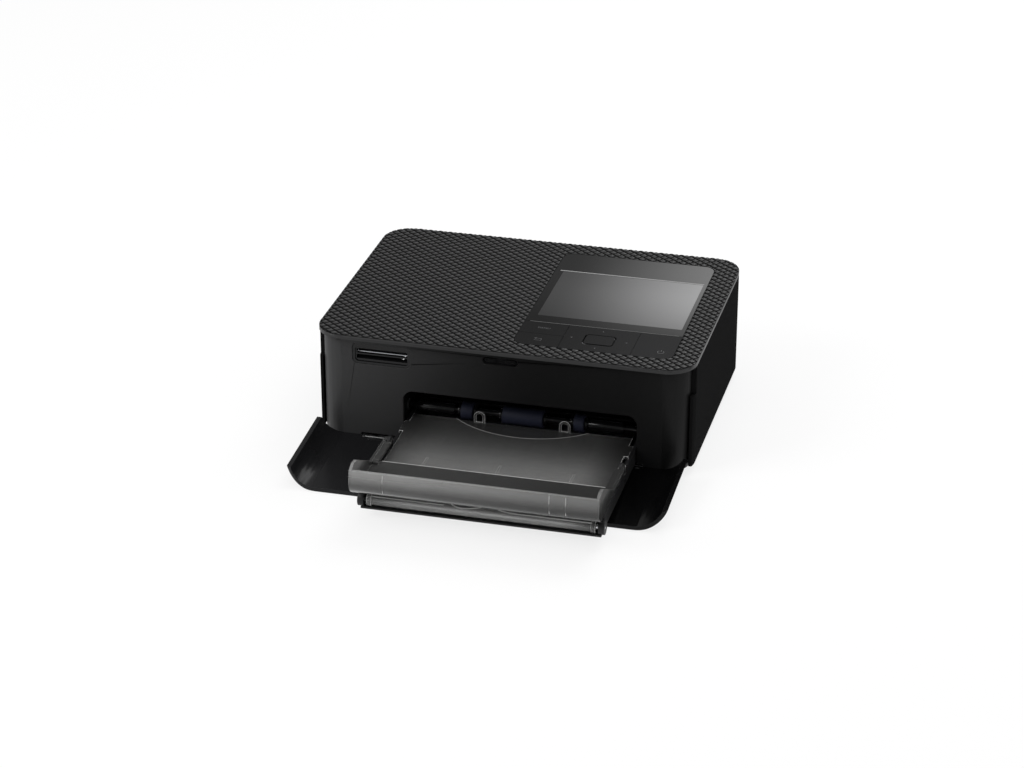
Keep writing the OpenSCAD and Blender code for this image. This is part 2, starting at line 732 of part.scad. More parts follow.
module cassette_base() framed() color(black_matt) difference() {
    union() {
        block([tray_x0, -tray_out + 1, tray_z], [tray_x1, tray_in, tray_top]);
        // low lip under the inner lid's barrel
        block([tray_x0, rod_y - 2.6, tray_z - 1], [tray_x1, -tray_out + 2, tray_z - 0.1]);
        block([tray_x0, -tray_out - 0.2, tray_z - 1], [tray_x1, -tray_out + 2, tray_z + 1.4]);
        for (s = [-1, 1]) {
            bar_x(paper_x + s*tray_w/2 - 1.4, paper_x + s*tray_w/2 + 1.4, rod_y, rod_z, rod_knuckle_r);
            side_profile(paper_x + s*(tray_w/2 - tray_wall/2) - tray_wall/2,
                paper_x + s*(tray_w/2 - tray_wall/2) + tray_wall/2) pivot_lug();
            block([paper_x + s*(tray_w/2 - tray_wall/2) - tray_wall/2, rod_y, tray_z - 1],
                [paper_x + s*(tray_w/2 - tray_wall/2) + tray_wall/2, -tray_out + 3, rod_z + 2]);
        }
    }
    // paper space: open at the top up to the roof
    block([tray_x0 + tray_wall, -tray_out + 1 + tray_wall, tray_z + 1.3],
        [tray_x1 - tray_wall, tray_in - tray_wall, roof_z - 1.2]);
    block([tray_x0 + tray_wall, -tray_out - 3, tray_z + 1.3],
        [tray_x1 - tray_wall, roof_y, tray_top + 1]);
    // the roof lies lower than the side walls, clear of the pick-up tyres
    block([tray_x0 + tray_wall, roof_y - 1, roof_z], [tray_x1 - tray_wall, tray_in + 1, tray_top + 1]);
    for (s = [-1, 1])
        bar_x(paper_x + s*tray_w/2 - 4, paper_x + s*tray_w/2 + 4, pivot_y, pivot_z, pivot_r + play);
    bar_x(tray_x0 - 4, tray_x1 + 4, rod_y, rod_z, rod_r);
    for (s = [-1, 1])
        bar_x(paper_x + s*(lid_hw - 1) - 1.3, paper_x + s*(lid_hw - 1) + 1.3, rod_y, rod_z, ring_r + 0.2);
    bar_x(tray_x0 - 4, tray_x1 + 4, lift_y0, lift_z, lift_pin_r + play);
}

// Lug that carries the outer lid's pivot, over the side wall
module pivot_lug() {
    translate([pivot_y, pivot_z]) circle(3);
    translate([pivot_y - 3, tray_z + 2]) square([6, pivot_z - tray_z - 2]);
}

// Spring plate that lifts the paper against the pick-up tyres
lift_y0 = -20;
lift_y1 = 30;
lift_z = tray_z + 2.4;
lift_pin_r = 0.8;
module lift_plate() framed() color(zinc_steel) {
    difference() {
        block([tray_x0 + tray_wall + 4, lift_y0, lift_z - 0.5],
            [tray_x1 - tray_wall - 4, lift_y1, lift_z + 0.5]);
        for (i = [-1:1])
            translate([paper_x + 28*i, 6, lift_z - 1]) linear_extrude(2) round_rect(14, 26, 3);
    }
    for (s = [-1, 1]) difference() {
        bar_x(paper_x + s*(tray_w/2 - 4) - 3.2, paper_x + s*(tray_w/2 - 4) + 3.2,
            lift_y0, lift_z, lift_pin_r);
        block([tray_x0 - 1, lift_y0 - 5, lift_z - 3], [tray_x0 + 0.2, lift_y0 + 5, lift_z + 3]);
    }
}

module lid_rod() framed() color(bright_steel)
    bar_x(paper_x - knuckle_hw + 0.1, paper_x + knuckle_hw - 0.1, rod_y, rod_z, rod_r);

// Clear inner lid: it turns up on the rod at the cassette's front
recess_r = 47.5;
recess_deep = 12.6;
module inner_lid() framed() color(smoke_clear) {
    lid_body();
    for (s = [-1, 1]) translate([paper_x + 20.7*s, lid_back, 0]) lid_loop();
}

// The lid without its loops, bored for the rod
module lid_body() difference() {
    union() {
        bar_x(paper_x - lid_hw, paper_x + lid_hw, rod_y, rod_z, barrel_r);
        for (s = [-1, 1])
            bar_x(paper_x + s*(lid_hw - 1) - 1, paper_x + s*(lid_hw - 1) + 1, rod_y, rod_z, ring_r);
        side_profile(paper_x - lid_hw, paper_x + lid_hw) lid_section();
        // tabs at both rear corners rest on the side walls
        block([tray_x0 + 0.8, -9.6, lid_z0], [tray_x1 - 0.8, 1.5, lid_z1]);
        // short ribs under the lid
        for (i = [-1:1]) translate([paper_x + 34.8*i, 0, lid_z0])
            block([-0.5, -42, -0.4], [0.5, -32, 0.1]);
    }
    bar_x(tray_x0, tray_x1, rod_y, rod_z, rod_r + play);
    // lens-shaped finger recess at the rear edge
    translate([paper_x, lid_back - recess_deep + recess_r, lid_z1 - 0.5]) cylinder(r=recess_r, h=2, $fn=96);
}

// Cross-section of the inner lid: barrel tangent, curved front, flat top
module lid_section() {
    front_r = lid_z1 - rod_z;
    translate([rod_y + front_r, lid_z0]) square([lid_back - rod_y - front_r, lid_t]);
    translate([rod_y + front_r, rod_z]) intersection() {
        difference() {
            circle(front_r);
            circle(front_r - lid_t);
        }
        translate([-front_r, 0]) square(front_r);
    }
}

// Upright loop on the inner lid's rear edge
loop_r = 2.7;
module lid_loop() {
    loop_z = lid_z1 + 2.6;
    side_t = 1.1;
    rotate([90, 0, 0]) linear_extrude(side_t) difference() {
        union() {
            translate([0, loop_z]) circle(loop_r);
            translate([-loop_r, lid_z0]) square([2*loop_r, loop_z - lid_z0]);
        }
        translate([0, loop_z]) circle(loop_r - side_t);
        translate([side_t - loop_r, lid_z1]) square([2*(loop_r - side_t), loop_z - lid_z1]);
    }
}

// Clear outer lid, turned forward: a plate with a scoop at its front and arms to its pivots
scoop_y = pivot_y - scoop_reach;
lid_plate_back = pivot_y - 21;
module outer_lid() framed() color(smoke_clear) {
    side_profile(paper_x - outer_hw, paper_x + outer_hw) scoop_section();
    for (x = scoop_ribs) side_profile(paper_x + x - 0.4, paper_x + x + 0.4) rib_section();
    // strips along the arms, between the plate and the lugs
    for (s = [-1, 1]) translate([paper_x + s*(outer_hw - strip_w/2), 0, 0])
        block([-strip_w/2, lid_plate_back - 4, outer_z1 - 0.1], [strip_w/2, pivot_y - 4, outer_z1 + 1.4]);
    for (s = [-1, 1]) {
        side_profile(paper_x + s*(outer_hw - lid_t/2) - lid_t/2,
            paper_x + s*(outer_hw - lid_t/2) + lid_t/2) arm_section();
        // pins point inwards into the lugs
        bar_x(paper_x + s*(outer_hw - 1.5) - 1.5, paper_x + s*(outer_hw - 1.5) + 1.5,
            pivot_y, pivot_z, pivot_r);
    }
}

// Curved ribs stiffen the scoop from inside
scoop_ribs = [-41.8, 34.9, 42.4];
rib_h = 0.9;
strip_w = 4.2;
module rib_section() {
    scoop_z = outer_z0 + scoop_r;
    translate([scoop_y, scoop_z]) intersection() {
        difference() {
            circle(scoop_r - 0.2);
            circle(scoop_r - lid_t - rib_h);
        }
        translate([-scoop_r, -scoop_r]) square(scoop_r);
    }
    polygon([[scoop_y - scoop_r + 0.3, scoop_z - 0.1], [scoop_y - scoop_r + lid_t + rib_h, scoop_z - 0.1],
        [scoop_y - scoop_r + 0.7 + lid_t + rib_h, outer_z0 + scoop_h - 2.2],
        [scoop_y - scoop_r + 1.2, outer_z0 + scoop_h - 1.2]]);
}

// Plate and scoop: a quarter round that leans back to its edge
module scoop_section() {
    scoop_z = outer_z0 + scoop_r;
    translate([scoop_y, outer_z0]) square([lid_plate_back - scoop_y, lid_t]);
    translate([scoop_y, scoop_z]) intersection() {
        difference() {
            circle(scoop_r);
            circle(scoop_r - lid_t);
        }
        translate([-scoop_r, -scoop_r]) square(scoop_r);
    }
    polygon([[scoop_y - scoop_r, scoop_z], [scoop_y - scoop_r + lid_t, scoop_z],
        [scoop_y - scoop_r + 1 + lid_t, outer_z0 + scoop_h], [scoop_y - scoop_r + 1, outer_z0 + scoop_h]]);
}

// Side wall: fills the scoop's end, falls to the plate and runs on to the pivot
module arm_section() {
    scoop_z = outer_z0 + scoop_r;
    ear_h = scoop_h + 1.8;
    intersection() {
        translate([scoop_y, scoop_z]) circle(scoop_r);
        translate([scoop_y - scoop_r, outer_z0]) square(scoop_r);
    }
    polygon([[scoop_y - scoop_r, scoop_z], [scoop_y - scoop_r + 1, outer_z0 + scoop_h],
        [scoop_y - 3, outer_z0 + ear_h], [scoop_y + 1.5, outer_z0 + ear_h - 0.4],
        [lid_plate_back - 4, outer_z1 + 1.6], [pivot_y, pivot_z + 2.4], [pivot_y, pivot_z - 2.4],
        [lid_plate_back, outer_z0], [scoop_y, outer_z0], [scoop_y, scoop_z]]);
    translate([pivot_y, pivot_z]) circle(2.4);
}

// ---- print engine ----

module chassis() framed() color(zinc_steel) {
    side_profile(plate_x0, plate_x0 + plate_t) difference() {
        plate_outline();
        // the ribbon cassette goes in through here
        ribbon_clear();
    }
    side_profile(plate_x1, plate_out) plate_outline();
    // upper tie between the plates, with bores for the head's posts
    difference() {
        block([plate_x0, platen_y - 6.2, plate_top - plate_t], [plate_out, platen_y + 6.2, plate_top]);
        at_head_posts() layer(plate_top - 3, plate_top + 1) circle(head_post_r + play);
    }
    block([plate_x0, plate_y1 - plate_t, floor_z + 14], [plate_out, plate_y1, floor_z + 17]);
    motor_bracket();
}

// Folded bracket over the gears carries the motor
module motor_bracket() {
    block([plate_x1, motor_y - 9, plate_top - plate_t], [bracket_x1, motor_y + 9, plate_top]);
    side_profile(bracket_x1 - bracket_t, bracket_x1) difference() {
        union() {
            translate([motor_y, motor_z]) circle(9);
            translate([motor_y - 9, motor_z]) square([18, plate_top - motor_z]);
        }
        translate([motor_y, motor_z]) circle(motor_boss_r + play);
    }
}

module plate_outline() {
    difference() {
        union() {
            translate([plate_y0, floor_z]) square([plate_y1 - plate_y0, plate_front_h]);
            translate([plate_y0 + 31, floor_z]) square([plate_y1 - plate_y0 - 37, plate_top - floor_z]);
        }
        translate([pickup_y, pickup_z]) circle(bush_r);
        translate([platen_y, platen_z]) circle(bush_r);
        translate([drive_y, drive_z]) circle(bush_r);
        translate([drive_y, pinch_z]) circle(shaft_r + play);
        translate([92, floor_z + 6]) circle(4);
    }
}

// Room for the ribbon cassette's two barrels and the head between them
module ribbon_clear() {
    for (y = [takeup_y, supply_y]) translate([y, ribbon_z]) circle(ribbon_r + 0.7);
    translate([takeup_y, ribbon_z - ribbon_r - 0.4]) square([supply_y - takeup_y, ribbon_r*1.7]);
}

head_post_r = 1.5;
module at_head_posts() {
    for (x = [-1, 1]) translate([paper_x + x*(tray_w/2 - 18), platen_y, 0]) children();
}

// Bushes for the driven shafts, pressed into the side plates
module shaft_bushes() framed() color(black_matt)
    for (p = [[pickup_y, pickup_z], [platen_y, platen_z], [drive_y, drive_z]],
            x = [plate_x0 - 0.6, plate_x1 - 0.6])
        difference() {
            union() {
                bar_x(x, x + plate_t + 1.2, p[0], p[1], bush_r - 0.02);
                bar_x(x, x + 0.6 - 0.02, p[0], p[1], bush_r + 0.5);
            }
            bar_x(x - 1, x + 4, p[0], p[1], shaft_r + play);
        }

// Ends of the shaft's sleeves: from the tray's sides and from the paper's middle
sleeve_r = 2.5;
sleeve_out_l = 3;
sleeve_out_r = 8;
sleeve_in_l = 34;
sleeve_in_r = 31.5;
collar_r = 3;
// Shaft with sleeves and collars, under the mouth's upper edge
module pickup_shaft() framed() color(black_matt) {
    bar_x(plate_x0 - 2, plate_out + 2, pickup_y, pickup_z, shaft_r);
    bar_x(tray_x0 + sleeve_out_l, paper_x - sleeve_in_l, pickup_y, pickup_z, sleeve_r);
    bar_x(paper_x + sleeve_in_r, tray_x1 - sleeve_out_r, pickup_y, pickup_z, sleeve_r);
    for (t = tyres, s = [-1, 1]) bar_x(paper_x + t[0] + s*(t[1]/2 + 0.8) - 0.7,
        paper_x + t[0] + s*(t[1]/2 + 0.8) + 0.7, pickup_y, pickup_z, collar_r);
}

// Three rubber tyres, middle and width of each: a wide one between two narrow ones
tyres = [[-27.65, 5.7], [-0.5, 19.6], [26.8, 4.8]];
module pickup_tyres() framed() color(roller_rubber)
    for (t = tyres) difference() {
        bar_x(paper_x + t[0] - t[1]/2, paper_x + t[0] + t[1]/2, pickup_y, pickup_z, pickup_r);
        bar_x(paper_x + t[0] - t[1], paper_x + t[0] + t[1], pickup_y, pickup_z, shaft_r);
    }

module platen_roller() framed() color(roller_rubber) {
    bar_x(paper_x - platen_hw, paper_x + platen_hw, platen_y, platen_z, platen_r);
    bar_x(plate_x0 - 2, gear_x0 + gear_w + 0.6, platen_y, platen_z, shaft_r);
}

module drive_roller() framed() color(bright_steel) {
    bar_x(paper_x - drive_hw, paper_x + drive_hw, drive_y, drive_z, drive_r);
    bar_x(plate_x0 - 2, gear_x0 + gear_w + 0.6, drive_y, drive_z, shaft_r);
}

module pinch_roller() framed() color(roller_rubber) {
    bar_x(paper_x - pinch_hw, paper_x + pinch_hw, drive_y, pinch_z, pinch_r);
    bar_x(plate_x0 - 1, plate_out + 1, drive_y, pinch_z, shaft_r);
}

// ---- gears: involute teeth, all of one module ----

pressure_angle = 20;
flank_steps = 3;

// Angle by which an involute has unwound at radius r from base radius b
function unwound(r, b) = r <= b ? 0 : tan(acos(b/r))*180/PI - acos(b/r);

// One closed outline: up one flank of each tooth, across its tip and down the other
module spur_gear(teeth) {
    pitch_r = gear_m*teeth/2;
    base_r = pitch_r*cos(pressure_angle);
    tip_r = pitch_r + 0.9*gear_m;
    root_r = pitch_r - 1.2*gear_m;
    start_r = max(base_r, root_r + 0.05);
    half_tooth = 90/teeth - backlash*90/(PI*pitch_r) + unwound(pitch_r, base_r);
    flank = concat([[root_r, half_tooth]], [for (k = [0:flank_steps])
        let (r = start_r + (tip_r - start_r)*k/flank_steps) [r, half_tooth - unwound(r, base_r)]]);
    last = len(flank) - 1;
    polygon([for (i = [0:teeth - 1], k = [0:2*last + 1])
        let (p = flank[k <= last ? k : 2*last + 1 - k], a = 360*i/teeth + (k <= last ? -p[1] : p[1]))
        p[0]*[cos(a), sin(a)]]);
}

// Turn that sets a gear in mesh: its tooth gap faces the other gear's tooth at angle a
function mesh_turn(a, other_teeth, other_turn, teeth) =
    a + 180 - (360/teeth)*(0.5 - (a - other_turn)*other_teeth/360);

idler_turn = mesh_turn(idler_angle, platen_teeth, 0, idler_teeth);
idler_to_drive = atan2(drive_z - idler_z, drive_y - idler_y);
drive_turn = mesh_turn(idler_to_drive, idler_teeth, idler_turn, drive_teeth);
motor_turn = mesh_turn(motor_angle, platen_teeth, 0, motor_teeth);

// Gear on the right side plate, with its hub
module gear_at(y, z, teeth, turn, bore, hub) difference() {
    gear_blank(y, z, teeth, turn, hub);
    bar_x(gear_x0 - 2, gear_x0 + gear_w + 1, y, z, bore);
}

module gear_blank(y, z, teeth, turn, hub) {
    side_profile(gear_x0, gear_x0 + gear_w) translate([y, z]) rotate(turn) spur_gear(teeth);
    bar_x(gear_x0 - 0.8, gear_x0 + 0.1, y, z, hub);
}

module platen_gear() framed() color(gear_white)
    gear_at(platen_y, platen_z, platen_teeth, 0, shaft_r, 4);

module idler_gear() framed() color(gear_white)
    gear_at(idler_y, idler_z, idler_teeth, idler_turn, shaft_r + play, 3);

module drive_gear() framed() color(gear_white)
    gear_at(drive_y, drive_z, drive_teeth, drive_turn, shaft_r, 3);

// The pinion is one with its shaft, which ends short of the hub's face
module motor_pinion() framed() color(alloy) {
    difference() {
        gear_blank(motor_y, motor_z, motor_teeth, motor_turn, 2);
        bar_x(gear_x0 - 2, gear_x0 - 0.4, motor_y, motor_z, motor_shaft_r);
    }
    bar_x(gear_x0 + gear_w/2, bracket_x1 + motor_l - 2, motor_y, motor_z, motor_shaft_r);
}

// Post on the side plate carries the idler
module idler_post() framed() color(bright_steel) {
    bar_x(plate_out, gear_x0 + gear_w + 0.4, idler_y, idler_z, shaft_r);
    bar_x(gear_x0 + gear_w + 0.4, gear_x0 + gear_w + 1.2, idler_y, idler_z, 2.4);
}

// Motor on a bracket outside the gears; its shaft carries the pinion
module motor() framed() color(alloy) difference() {
    union() {
        bar_x(bracket_x1, bracket_x1 + motor_l, motor_y, motor_z, motor_r);
        bar_x(bracket_x1 - bracket_t + 0.1, bracket_x1 + 0.1, motor_y, motor_z, motor_boss_r);
    }
    bar_x(bracket_x1 - 4, bracket_x1 + motor_l - 1, motor_y, motor_z, motor_shaft_r + play);
}

// ---- thermal head ----

head_gap = 0.35;
shoe_d = 5.2;
shoe_z1 = path_z + 0.4*platen_r;
carrier_hw = tray_w/2 - 3;
carrier_d = 10;
carrier_z1 = path_z + 0.8*platen_r;
sink_z1 = carrier_z1 + 2;
fin_h = 7;
fin_t = 1;
fin_pitch = 2.2;
module print_head() framed() color(alloy) {
    block([paper_x - drive_hw, platen_y - shoe_d/2, path_z + head_gap],
        [paper_x + drive_hw, platen_y + shoe_d/2, shoe_z1]);
    block([paper_x - carrier_hw, platen_y - carrier_d/2, shoe_z1],
        [paper_x + carrier_hw, platen_y + carrier_d/2, carrier_z1]);
}

// Finned block over the head, with its two posts
module heat_sink() framed() color(alloy) {
    block([paper_x - pinch_hw, platen_y - carrier_d/2, carrier_z1],
        [paper_x + pinch_hw, platen_y + carrier_d/2, sink_z1]);
    for (i = [-2:2])
        block([paper_x - pinch_hw, platen_y + fin_pitch*i - fin_t/2, sink_z1],
            [paper_x + pinch_hw, platen_y + fin_pitch*i + fin_t/2, sink_z1 + fin_h]);
    at_head_posts() layer(carrier_z1 + 1, plate_top + 0.2) circle(head_post_r);
}

// ---- ribbon cassette ----

module ribbon_shell() framed() color(ribbon_black) {
    for (y = [takeup_y, supply_y]) difference() {
        bar_x(tray_x0 + 1, tray_x1 - 1, y, ribbon_z, ribbon_r);
        bar_x(tray_x0 + 2.4, tray_x1 - 2.4, y, ribbon_z, ribbon_r - 1.2);
        // slit where the film comes out, towards the head
        block([paper_x - carrier_hw, y + (y < platen_y ? 3 : -ribbon_r), path_z],
            [paper_x + carrier_hw, y + (y < platen_y ? ribbon_r : -3), ribbon_z - 0.46*ribbon_r]);
        bar_x(tray_x0, tray_x1, y, ribbon_z, 2.4);
    }
    // end bridges join the barrels
    for (x = [tray_x0 + 1, tray_x1 - 2.8])
        block([x, takeup_y + ribbon_r - 2, ribbon_z - 5], [x + 1.8, supply_y - ribbon_r + 2, ribbon_z - 2.6]);
    // grip behind the compartment's cover
    block([-side_x + wall + 3, takeup_y - 2, ribbon_z - 4], [tray_x0 + 1.2, supply_y + 2, ribbon_z - 1]);
    block([-side_x + wall + 3, takeup_y - 2, ribbon_z - 4], [-side_x + wall + 5, supply_y + 2, ribbon_z + 6]);
}

// Spool with its wound film; the core turns in the shell's end walls
module spool(y, wound_r) {
    bar_x(paper_x - drive_hw, paper_x + drive_hw, y, ribbon_z, wound_r);
    bar_x(tray_x0 + 1.2, tray_x1 - 1.2, y, ribbon_z, 2.4 - play);
}

module takeup_spool() framed() color(ribbon_film) spool(takeup_y, 0.51*ribbon_r);

module supply_spool() framed() color(ribbon_film) spool(supply_y, 0.77*ribbon_r);

// ---- electronics and rear ----

module main_board() framed() color(board_green) {
    board_x1 = panel_x0 - 6;
    difference() {
        block([-side_x + 7, 12, board_under], [board_x1, body_d - 9, pcb_top]);
        for (x = [-side_x + 11, board_x1 - 4], y = [16, body_d - 13])
            translate([x, y, board_under - 1]) cylinder(r=1.3, h=pcb_t + 2);
    }
    translate([-side_x, 0, pcb_top]) {
        block([31, 52, 0], [47, 68, 1.6]);
        block([55, 60, 0], [67, 72, 1.2]);
        for (i = [0:3]) block([17 + 5*i, 90, 0], [20 + 5*i, 94, 2]);
    }
}

inlet_hw = 5;
inlet_l = 14;
inlet_ring_r = 4.1;
inlet_bore_r = 2.8;
inlet_deep = 12;
module power_inlet() framed() color(black_matt) difference() {
    union() {
        block([inlet_x - inlet_hw, back_y - wall - inlet_l, inlet_z - inlet_hw],
            [inlet_x + inlet_hw, back_y - wall - 0.1, board_under]);
        bar_y(back_y - wall - 0.2, back_y - 0.4, inlet_x, inlet_z, inlet_ring_r);
    }
    bar_y(back_y - inlet_deep, back_y + 1, inlet_x, inlet_z, inlet_bore_r);
}

module usb_socket() framed() color(bright_steel) difference() {
    union() {
        face_plate(usb_x, usb_z, 9, 3.2, 1.4, back_y - 10, back_y - 0.5);
        block([usb_x - 4, back_y - 10, usb_z], [usb_x + 4, back_y - wall - 1, board_under]);
    }
    face_plate(usb_x, usb_z, 8.2, 2.4, 1, back_y - 8, back_y);
}

// Guide that leads the sheet to the rear slot
guide_y0 = supply_y + ribbon_r + 2.8;
guide_z1 = path_z - 2;
guide_t = 1.2;
guide_pitch = (plate_x1 - plate_x0 - 8.2)/10;
module paper_guide() framed() color(black_matt) {
    block([plate_x0 + 2, guide_y0, guide_z1 - guide_t], [plate_x1 - 1, back_y - wall - 0.3, guide_z1]);
    for (i = [0:10]) translate([plate_x0 + 4 + guide_pitch*i, 0, 0])
        block([0, guide_y0 + 2, guide_z1], [1, back_y - wall - 1, guide_z1 + 1.4]);
}

main_shell();
top_cover();
fascia();
bottom_cover();
feet();
cover_screws();
card_slot_frame();
card_socket();
latch_catch();
door();
door_pins();
panel_frame();
panel_screws();
display_window();
screen_module();
key_board();
menu_key();
back_key();
direction_key();
centre_key();
power_key();
ribbon_cover();
ribbon_cover_pins();
cassette_base();
lift_plate();
lid_rod();
inner_lid();
outer_lid();
chassis();
shaft_bushes();
pickup_shaft();
pickup_tyres();
platen_roller();
drive_roller();
pinch_roller();
platen_gear();
idler_gear();
drive_gear();
motor_pinion();
idler_post();
motor();
print_head();
heat_sink();
ribbon_shell();
takeup_spool();
supply_spool();
main_board();
power_inlet();
usb_socket();
paper_guide();
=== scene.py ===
"""Looks of the compact photo printer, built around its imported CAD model.

Lengths are metres in the row's frame: X to the right, Y to the back, Z up.
The script is written in millimetres of the body's own frame, whose y = 0 is the front plane,
and placed() turns those into the row's frame.
"""

import math

import bmesh
import bpy
from mathutils import Matrix, Vector


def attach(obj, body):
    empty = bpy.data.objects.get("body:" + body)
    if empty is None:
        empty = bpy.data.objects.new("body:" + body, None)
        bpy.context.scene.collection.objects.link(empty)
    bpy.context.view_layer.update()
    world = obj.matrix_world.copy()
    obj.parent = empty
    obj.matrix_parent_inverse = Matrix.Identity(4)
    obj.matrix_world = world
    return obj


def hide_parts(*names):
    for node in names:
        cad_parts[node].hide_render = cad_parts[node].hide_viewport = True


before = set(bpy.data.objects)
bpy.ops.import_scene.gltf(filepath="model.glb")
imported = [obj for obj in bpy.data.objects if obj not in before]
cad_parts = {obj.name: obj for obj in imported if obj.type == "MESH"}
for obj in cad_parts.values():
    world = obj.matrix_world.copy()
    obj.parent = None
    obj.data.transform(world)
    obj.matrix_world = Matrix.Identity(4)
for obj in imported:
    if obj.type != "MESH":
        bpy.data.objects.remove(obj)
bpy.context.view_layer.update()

MM = 0.001
PER_METRE = 1000.0
FRONT_PLANE = -25.65  # the body's front plane along Y in the row's frame, in millimetres


def placed(x, y, z):
    """A point of the body's own frame, in millimetres, as a point of the row's frame."""
    return Vector((x * MM, (y + FRONT_PLANE) * MM, z * MM))


# ---------------------------------------------------------------- materials


class Nodes:
    """A node tree with short calls to add and join its nodes."""

    def __init__(self, tree):
        self.tree = tree
        self.tree.nodes.clear()

    def add(self, kind, **settings):
        node = self.tree.nodes.new(kind)
        for key, value in settings.items():
            setattr(node, key, value)
        return node

    def join(self, start, end):
        self.tree.links.new(start, end)

    def math(self, operation, first, second=None):
        node = self.add("ShaderNodeMath", operation=operation)
        for socket, value in zip(node.inputs, (first, second)):
            if isinstance(value, bpy.types.NodeSocket):
                self.join(value, socket)
            elif value is not None:
                socket.default_value = value
        return node.outputs[0]


def group_with(name, inputs, outputs):
    """An empty node group with named sockets: (name, kind, default) and (name, kind)."""
    tree = bpy.data.node_groups.new(name, "ShaderNodeTree")
    for label, kind, default in inputs:
        socket = tree.interface.new_socket(label, in_out="INPUT", socket_type=kind)
        socket.default_value = default
    for label, kind in outputs:
        tree.interface.new_socket(label, in_out="OUTPUT", socket_type=kind)
    nodes = Nodes(tree)
    return nodes, nodes.add("NodeGroupInput"), nodes.add("NodeGroupOutput")


def make_moulded_grain():
    """Fine grain of a spark-eroded mould, with a slow drift in its gloss and shade."""
    nodes, given, made = group_with(
        "moulded_grain",
        [
            ("Grain Size", "NodeSocketFloat", 0.4),
            ("Roughness", "NodeSocketFloat", 0.4),
            ("Roughness Drift", "NodeSocketFloat", 0.06),
            ("Colour", "NodeSocketColor", (0.02, 0.02, 0.02, 1)),
            ("Colour Drift", "NodeSocketFloat", 0.15),
        ],
        [("Height", "NodeSocketFloat"), ("Roughness", "NodeSocketFloat"), ("Colour", "NodeSocketColor")],
    )
    where = nodes.add("ShaderNodeTexCoord").outputs["Object"]
    scale = nodes.math("DIVIDE", PER_METRE, given.outputs["Grain Size"])
    grain = nodes.add("ShaderNodeTexNoise", noise_dimensions="3D")
    grain.inputs["Detail"].default_value = 3.0
    nodes.join(where, grain.inputs["Vector"])
    nodes.join(scale, grain.inputs["Scale"])
    slow = nodes.add("ShaderNodeTexNoise", noise_dimensions="3D")
    slow.inputs["Scale"].default_value = 38.0
    slow.inputs["Detail"].default_value = 4.0
    nodes.join(where, slow.inputs["Vector"])
    swing = nodes.math("SUBTRACT", slow.outputs["Fac"], 0.5)
    rough_swing = nodes.math("MULTIPLY", swing, given.outputs["Roughness Drift"])
    rough = nodes.math("ADD", given.outputs["Roughness"], rough_swing)
    shade = nodes.math("ADD", 1.0, nodes.math("MULTIPLY", swing, given.outputs["Colour Drift"]))
    tint = nodes.add("ShaderNodeVectorMath", operation="SCALE")
    nodes.join(given.outputs["Colour"], tint.inputs[0])
    nodes.join(shade, tint.inputs["Scale"])
    nodes.join(grain.outputs["Fac"], made.inputs["Height"])
    nodes.join(rough, made.inputs["Roughness"])
    nodes.join(tint.outputs[0], made.inputs["Colour"])
    return nodes.tree


def make_drawn_lines():
    """Fine lines left on metal by drawing or turning, running round the X axis."""
    nodes, given, made = group_with(
        "drawn_lines",
        [
            ("Spacing", "NodeSocketFloat", 0.2),
            ("Roughness", "NodeSocketFloat", 0.3),
            ("Roughness Drift", "NodeSocketFloat", 0.1),
        ],
        [("Height", "NodeSocketFloat"), ("Roughness", "NodeSocketFloat")],
    )
    where = nodes.add("ShaderNodeTexCoord").outputs["Object"]
    stretch = nodes.add("ShaderNodeMapping")
    stretch.inputs["Scale"].default_value = (1.0, 0.04, 0.04)
    nodes.join(where, stretch.inputs["Vector"])
    lines = nodes.add("ShaderNodeTexNoise", noise_dimensions="3D")
    lines.inputs["Detail"].default_value = 2.0
    nodes.join(stretch.outputs[0], lines.inputs["Vector"])
    nodes.join(nodes.math("DIVIDE", PER_METRE, given.outputs["Spacing"]), lines.inputs["Scale"])
    swing = nodes.math("SUBTRACT", lines.outputs["Fac"], 0.5)
    rough_swing = nodes.math("MULTIPLY", swing, given.outputs["Roughness Drift"])
    nodes.join(nodes.math("ADD", given.outputs["Roughness"], rough_swing), made.inputs["Roughness"])
    nodes.join(lines.outputs["Fac"], made.inputs["Height"])
    return nodes.tree


moulded_grain = make_moulded_grain()
drawn_lines = make_drawn_lines()


def plain_settings(shader, **values):
    """Sets sockets by name, with _ for each space."""
    for label, value in values.items():
        shader.inputs[label.replace("_", " ")].default_value = value


def faded(nodes, colour, painted_light_fades):
    """Scales a colour along the object's axes, to paint light and shade into it.

    Each fade is an axis, then a place in millimetres and its share, twice.
    """
    if not painted_light_fades:
        return colour
    parts = nodes.add("ShaderNodeSeparateXYZ")
    nodes.join(nodes.add("ShaderNodeTexCoord").outputs["Object"], parts.inputs[0])
    for axis, first, share_first, last, share_last in painted_light_fades:
        between = nodes.add("ShaderNodeMapRange", interpolation_type="SMOOTHSTEP")
        plain_settings(
            between,
            From_Min=first * MM,
            From_Max=last * MM,
            To_Min=share_first,
            To_Max=share_last,
        )
        nodes.join(parts.outputs[axis], between.inputs["Value"])
        scaled = nodes.add("ShaderNodeVectorMath", operation="SCALE")
        nodes.join(colour, scaled.inputs[0])
        nodes.join(between.outputs[0], scaled.inputs["Scale"])
        colour = scaled.outputs[0]
    return colour


FINISH = {}


